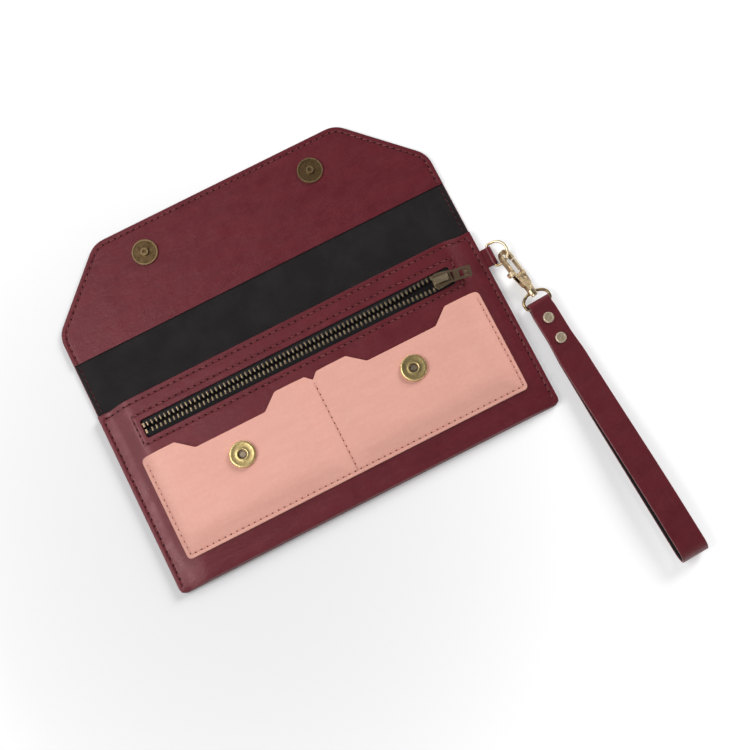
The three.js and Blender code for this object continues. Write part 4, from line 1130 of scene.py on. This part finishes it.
for name in ("left", "right"):
    turned(f"snap_ring_{name}", f"snap_cap_{name}", CAP_PROFILE, CAP_BRASS,
           "wallet_body", ring=True)
    soften(f"snap_post_{name}", STEEL)
    soften(f"snap_magnet_{name}", FERRITE)
    soften(f"snap_stud_{name}", STUD_BRASS, 0.15)
soften("zip_slider", ZIP_BRASS)
for name in ("zip_top_stop_upper", "zip_top_stop_lower", "zip_bottom_stop"):
    soften(name, PULL_BRASS)
soften("zip_pull", PULL_BRASS, 0.18)
for name in ("d_ring", "hook_body", "gate_lever", "swivel_eye"):
    soften(name, PALE_BRASS, 0.3)
for name in ("first", "second"):
    turned(f"rivet_{name}_caps", f"rivet_{name}", RIVET_PROFILE, RIVET_BRASS, "strap")
soften("gate_pin", STEEL)
soften("ring_tab", MAROON_SOLID, 0.25)

# Pieces with no body of their own, their placement baked into their meshes; the front stitches go with the
# wallet body

for piece in (body_leather, inner_lining, band_stitches, back_stitches):
    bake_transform(piece)
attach(front_stitches, "wallet_body")

# Camera, floor and light

CAMERA_AT = (-0.0016, -0.1055, 0.7088)
CAMERA_TURN = (8.90, 1.64, -26.84)
CAMERA_LENS = 65.27
camera = bpy.data.objects.new("camera", bpy.data.cameras.new("camera"))
camera.location = CAMERA_AT
camera.rotation_euler = [math.radians(v) for v in CAMERA_TURN]
camera.data.sensor_width = 36
camera.data.lens = CAMERA_LENS
bpy.context.scene.collection.objects.link(camera)
bpy.context.scene.camera = camera
bpy.context.scene.view_settings.view_transform = "Standard"


def seen_directly(n):
    """1 for rays that show the background itself, in the picture or in a reflection."""
    path = n.add("ShaderNodeLightPath")
    seen = n.math("MAXIMUM", path.outputs["Is Camera Ray"], path.outputs["Is Glossy Ray"])
    return n.math("MAXIMUM", seen, path.outputs["Is Transmission Ray"])


GLOW_LEFT = -0.1
GLOW_RIGHT = 0.38
GLOW_FAR = 5.0
GLOW_FROM = -0.2
GLOW_TO = 0.25


def floor_material():
    """Pale matt floor, brought up to an even white where the lamps reach it less."""
    n = Nodes("floor")
    at = n.add("ShaderNodeSeparateXYZ", {0: n.coords("Object")}).outputs
    across = n.between(at["X"], GLOW_FROM, GLOW_TO, GLOW_LEFT, GLOW_RIGHT)
    far = n.math("MULTIPLY_ADD", at["X"], at["X"], n.math("MULTIPLY", at["Y"], at["Y"]))
    glow = n.math("MAXIMUM", n.math("MULTIPLY_ADD", far, GLOW_FAR, across), 0.0)
    strength = n.math("MULTIPLY", seen_directly(n), glow)
    return n.finish(Base_Color=srgb(220, 220, 221), Roughness=0.9, Specular_IOR_Level=0.0,
                    Emission_Color=(1, 1, 1, 1), Emission_Strength=strength)


FLOOR_HALF = 3.0
FLOOR_Z = -0.0003
floor_mesh = bpy.data.meshes.new("floor")
corners = [(-1, -1), (1, -1), (1, 1), (-1, 1)]
floor_mesh.from_pydata([(x * FLOOR_HALF, y * FLOOR_HALF, FLOOR_Z) for x, y in corners], [],
                       [(0, 1, 2, 3)])
floor = bpy.data.objects.new("floor", floor_mesh)
floor_mesh.materials.append(floor_material())
bpy.context.scene.collection.objects.link(floor)


AMBIENT = 0.26
CEILING = 0.12
CEILING_FROM = 0.6
CEILING_FULL = 0.95
WINDOW_SIDE = 1.45
WINDOW_AT = -0.6
DARK_SIDE = 0.4
DARK_AT = 0.7


def studio():
    """World: even light for the object, white behind it, and a dimmer ceiling for gloss and metal."""
    n = Nodes("studio", world=True)
    path = n.add("ShaderNodeLightPath").outputs
    way = n.add("ShaderNodeSeparateXYZ", {0: n.coords("Generated")}).outputs
    ceiling = n.between(way["Z"], CEILING_FROM, CEILING_FULL, 1.0, CEILING)
    side = n.between(way["X"], WINDOW_AT, DARK_AT, WINDOW_SIDE, DARK_SIDE)
    around = n.math("MULTIPLY", ceiling, side)
    level = n.between(path["Is Glossy Ray"], 0, 1, AMBIENT, around)
    direct = n.math("MAXIMUM", path["Is Camera Ray"], path["Is Transmission Ray"])
    return n.finish(Color=(1, 1, 1, 1), Strength=n.between(direct, 0, 1, level, 1.0))


bpy.context.scene.world = studio()


def lamp(name, place, size, power, shows_in_gloss=True):
    data = bpy.data.lights.new(name, "AREA")
    data.shape = "DISK"
    data.size = size
    data.energy = power
    made = bpy.data.objects.new(name, data)
    made.location = place
    made.rotation_euler = (-Vector(place)).to_track_quat("-Z", "Y").to_euler()
    made.visible_glossy = shows_in_gloss
    bpy.context.scene.collection.objects.link(made)


lamp("right_softbox", (1.62, 0.95, 1.15), 1.2, 38.0, shows_in_gloss=False)
lamp("left_window", (-0.42, 0.08, 0.6), 0.5, 3.2)
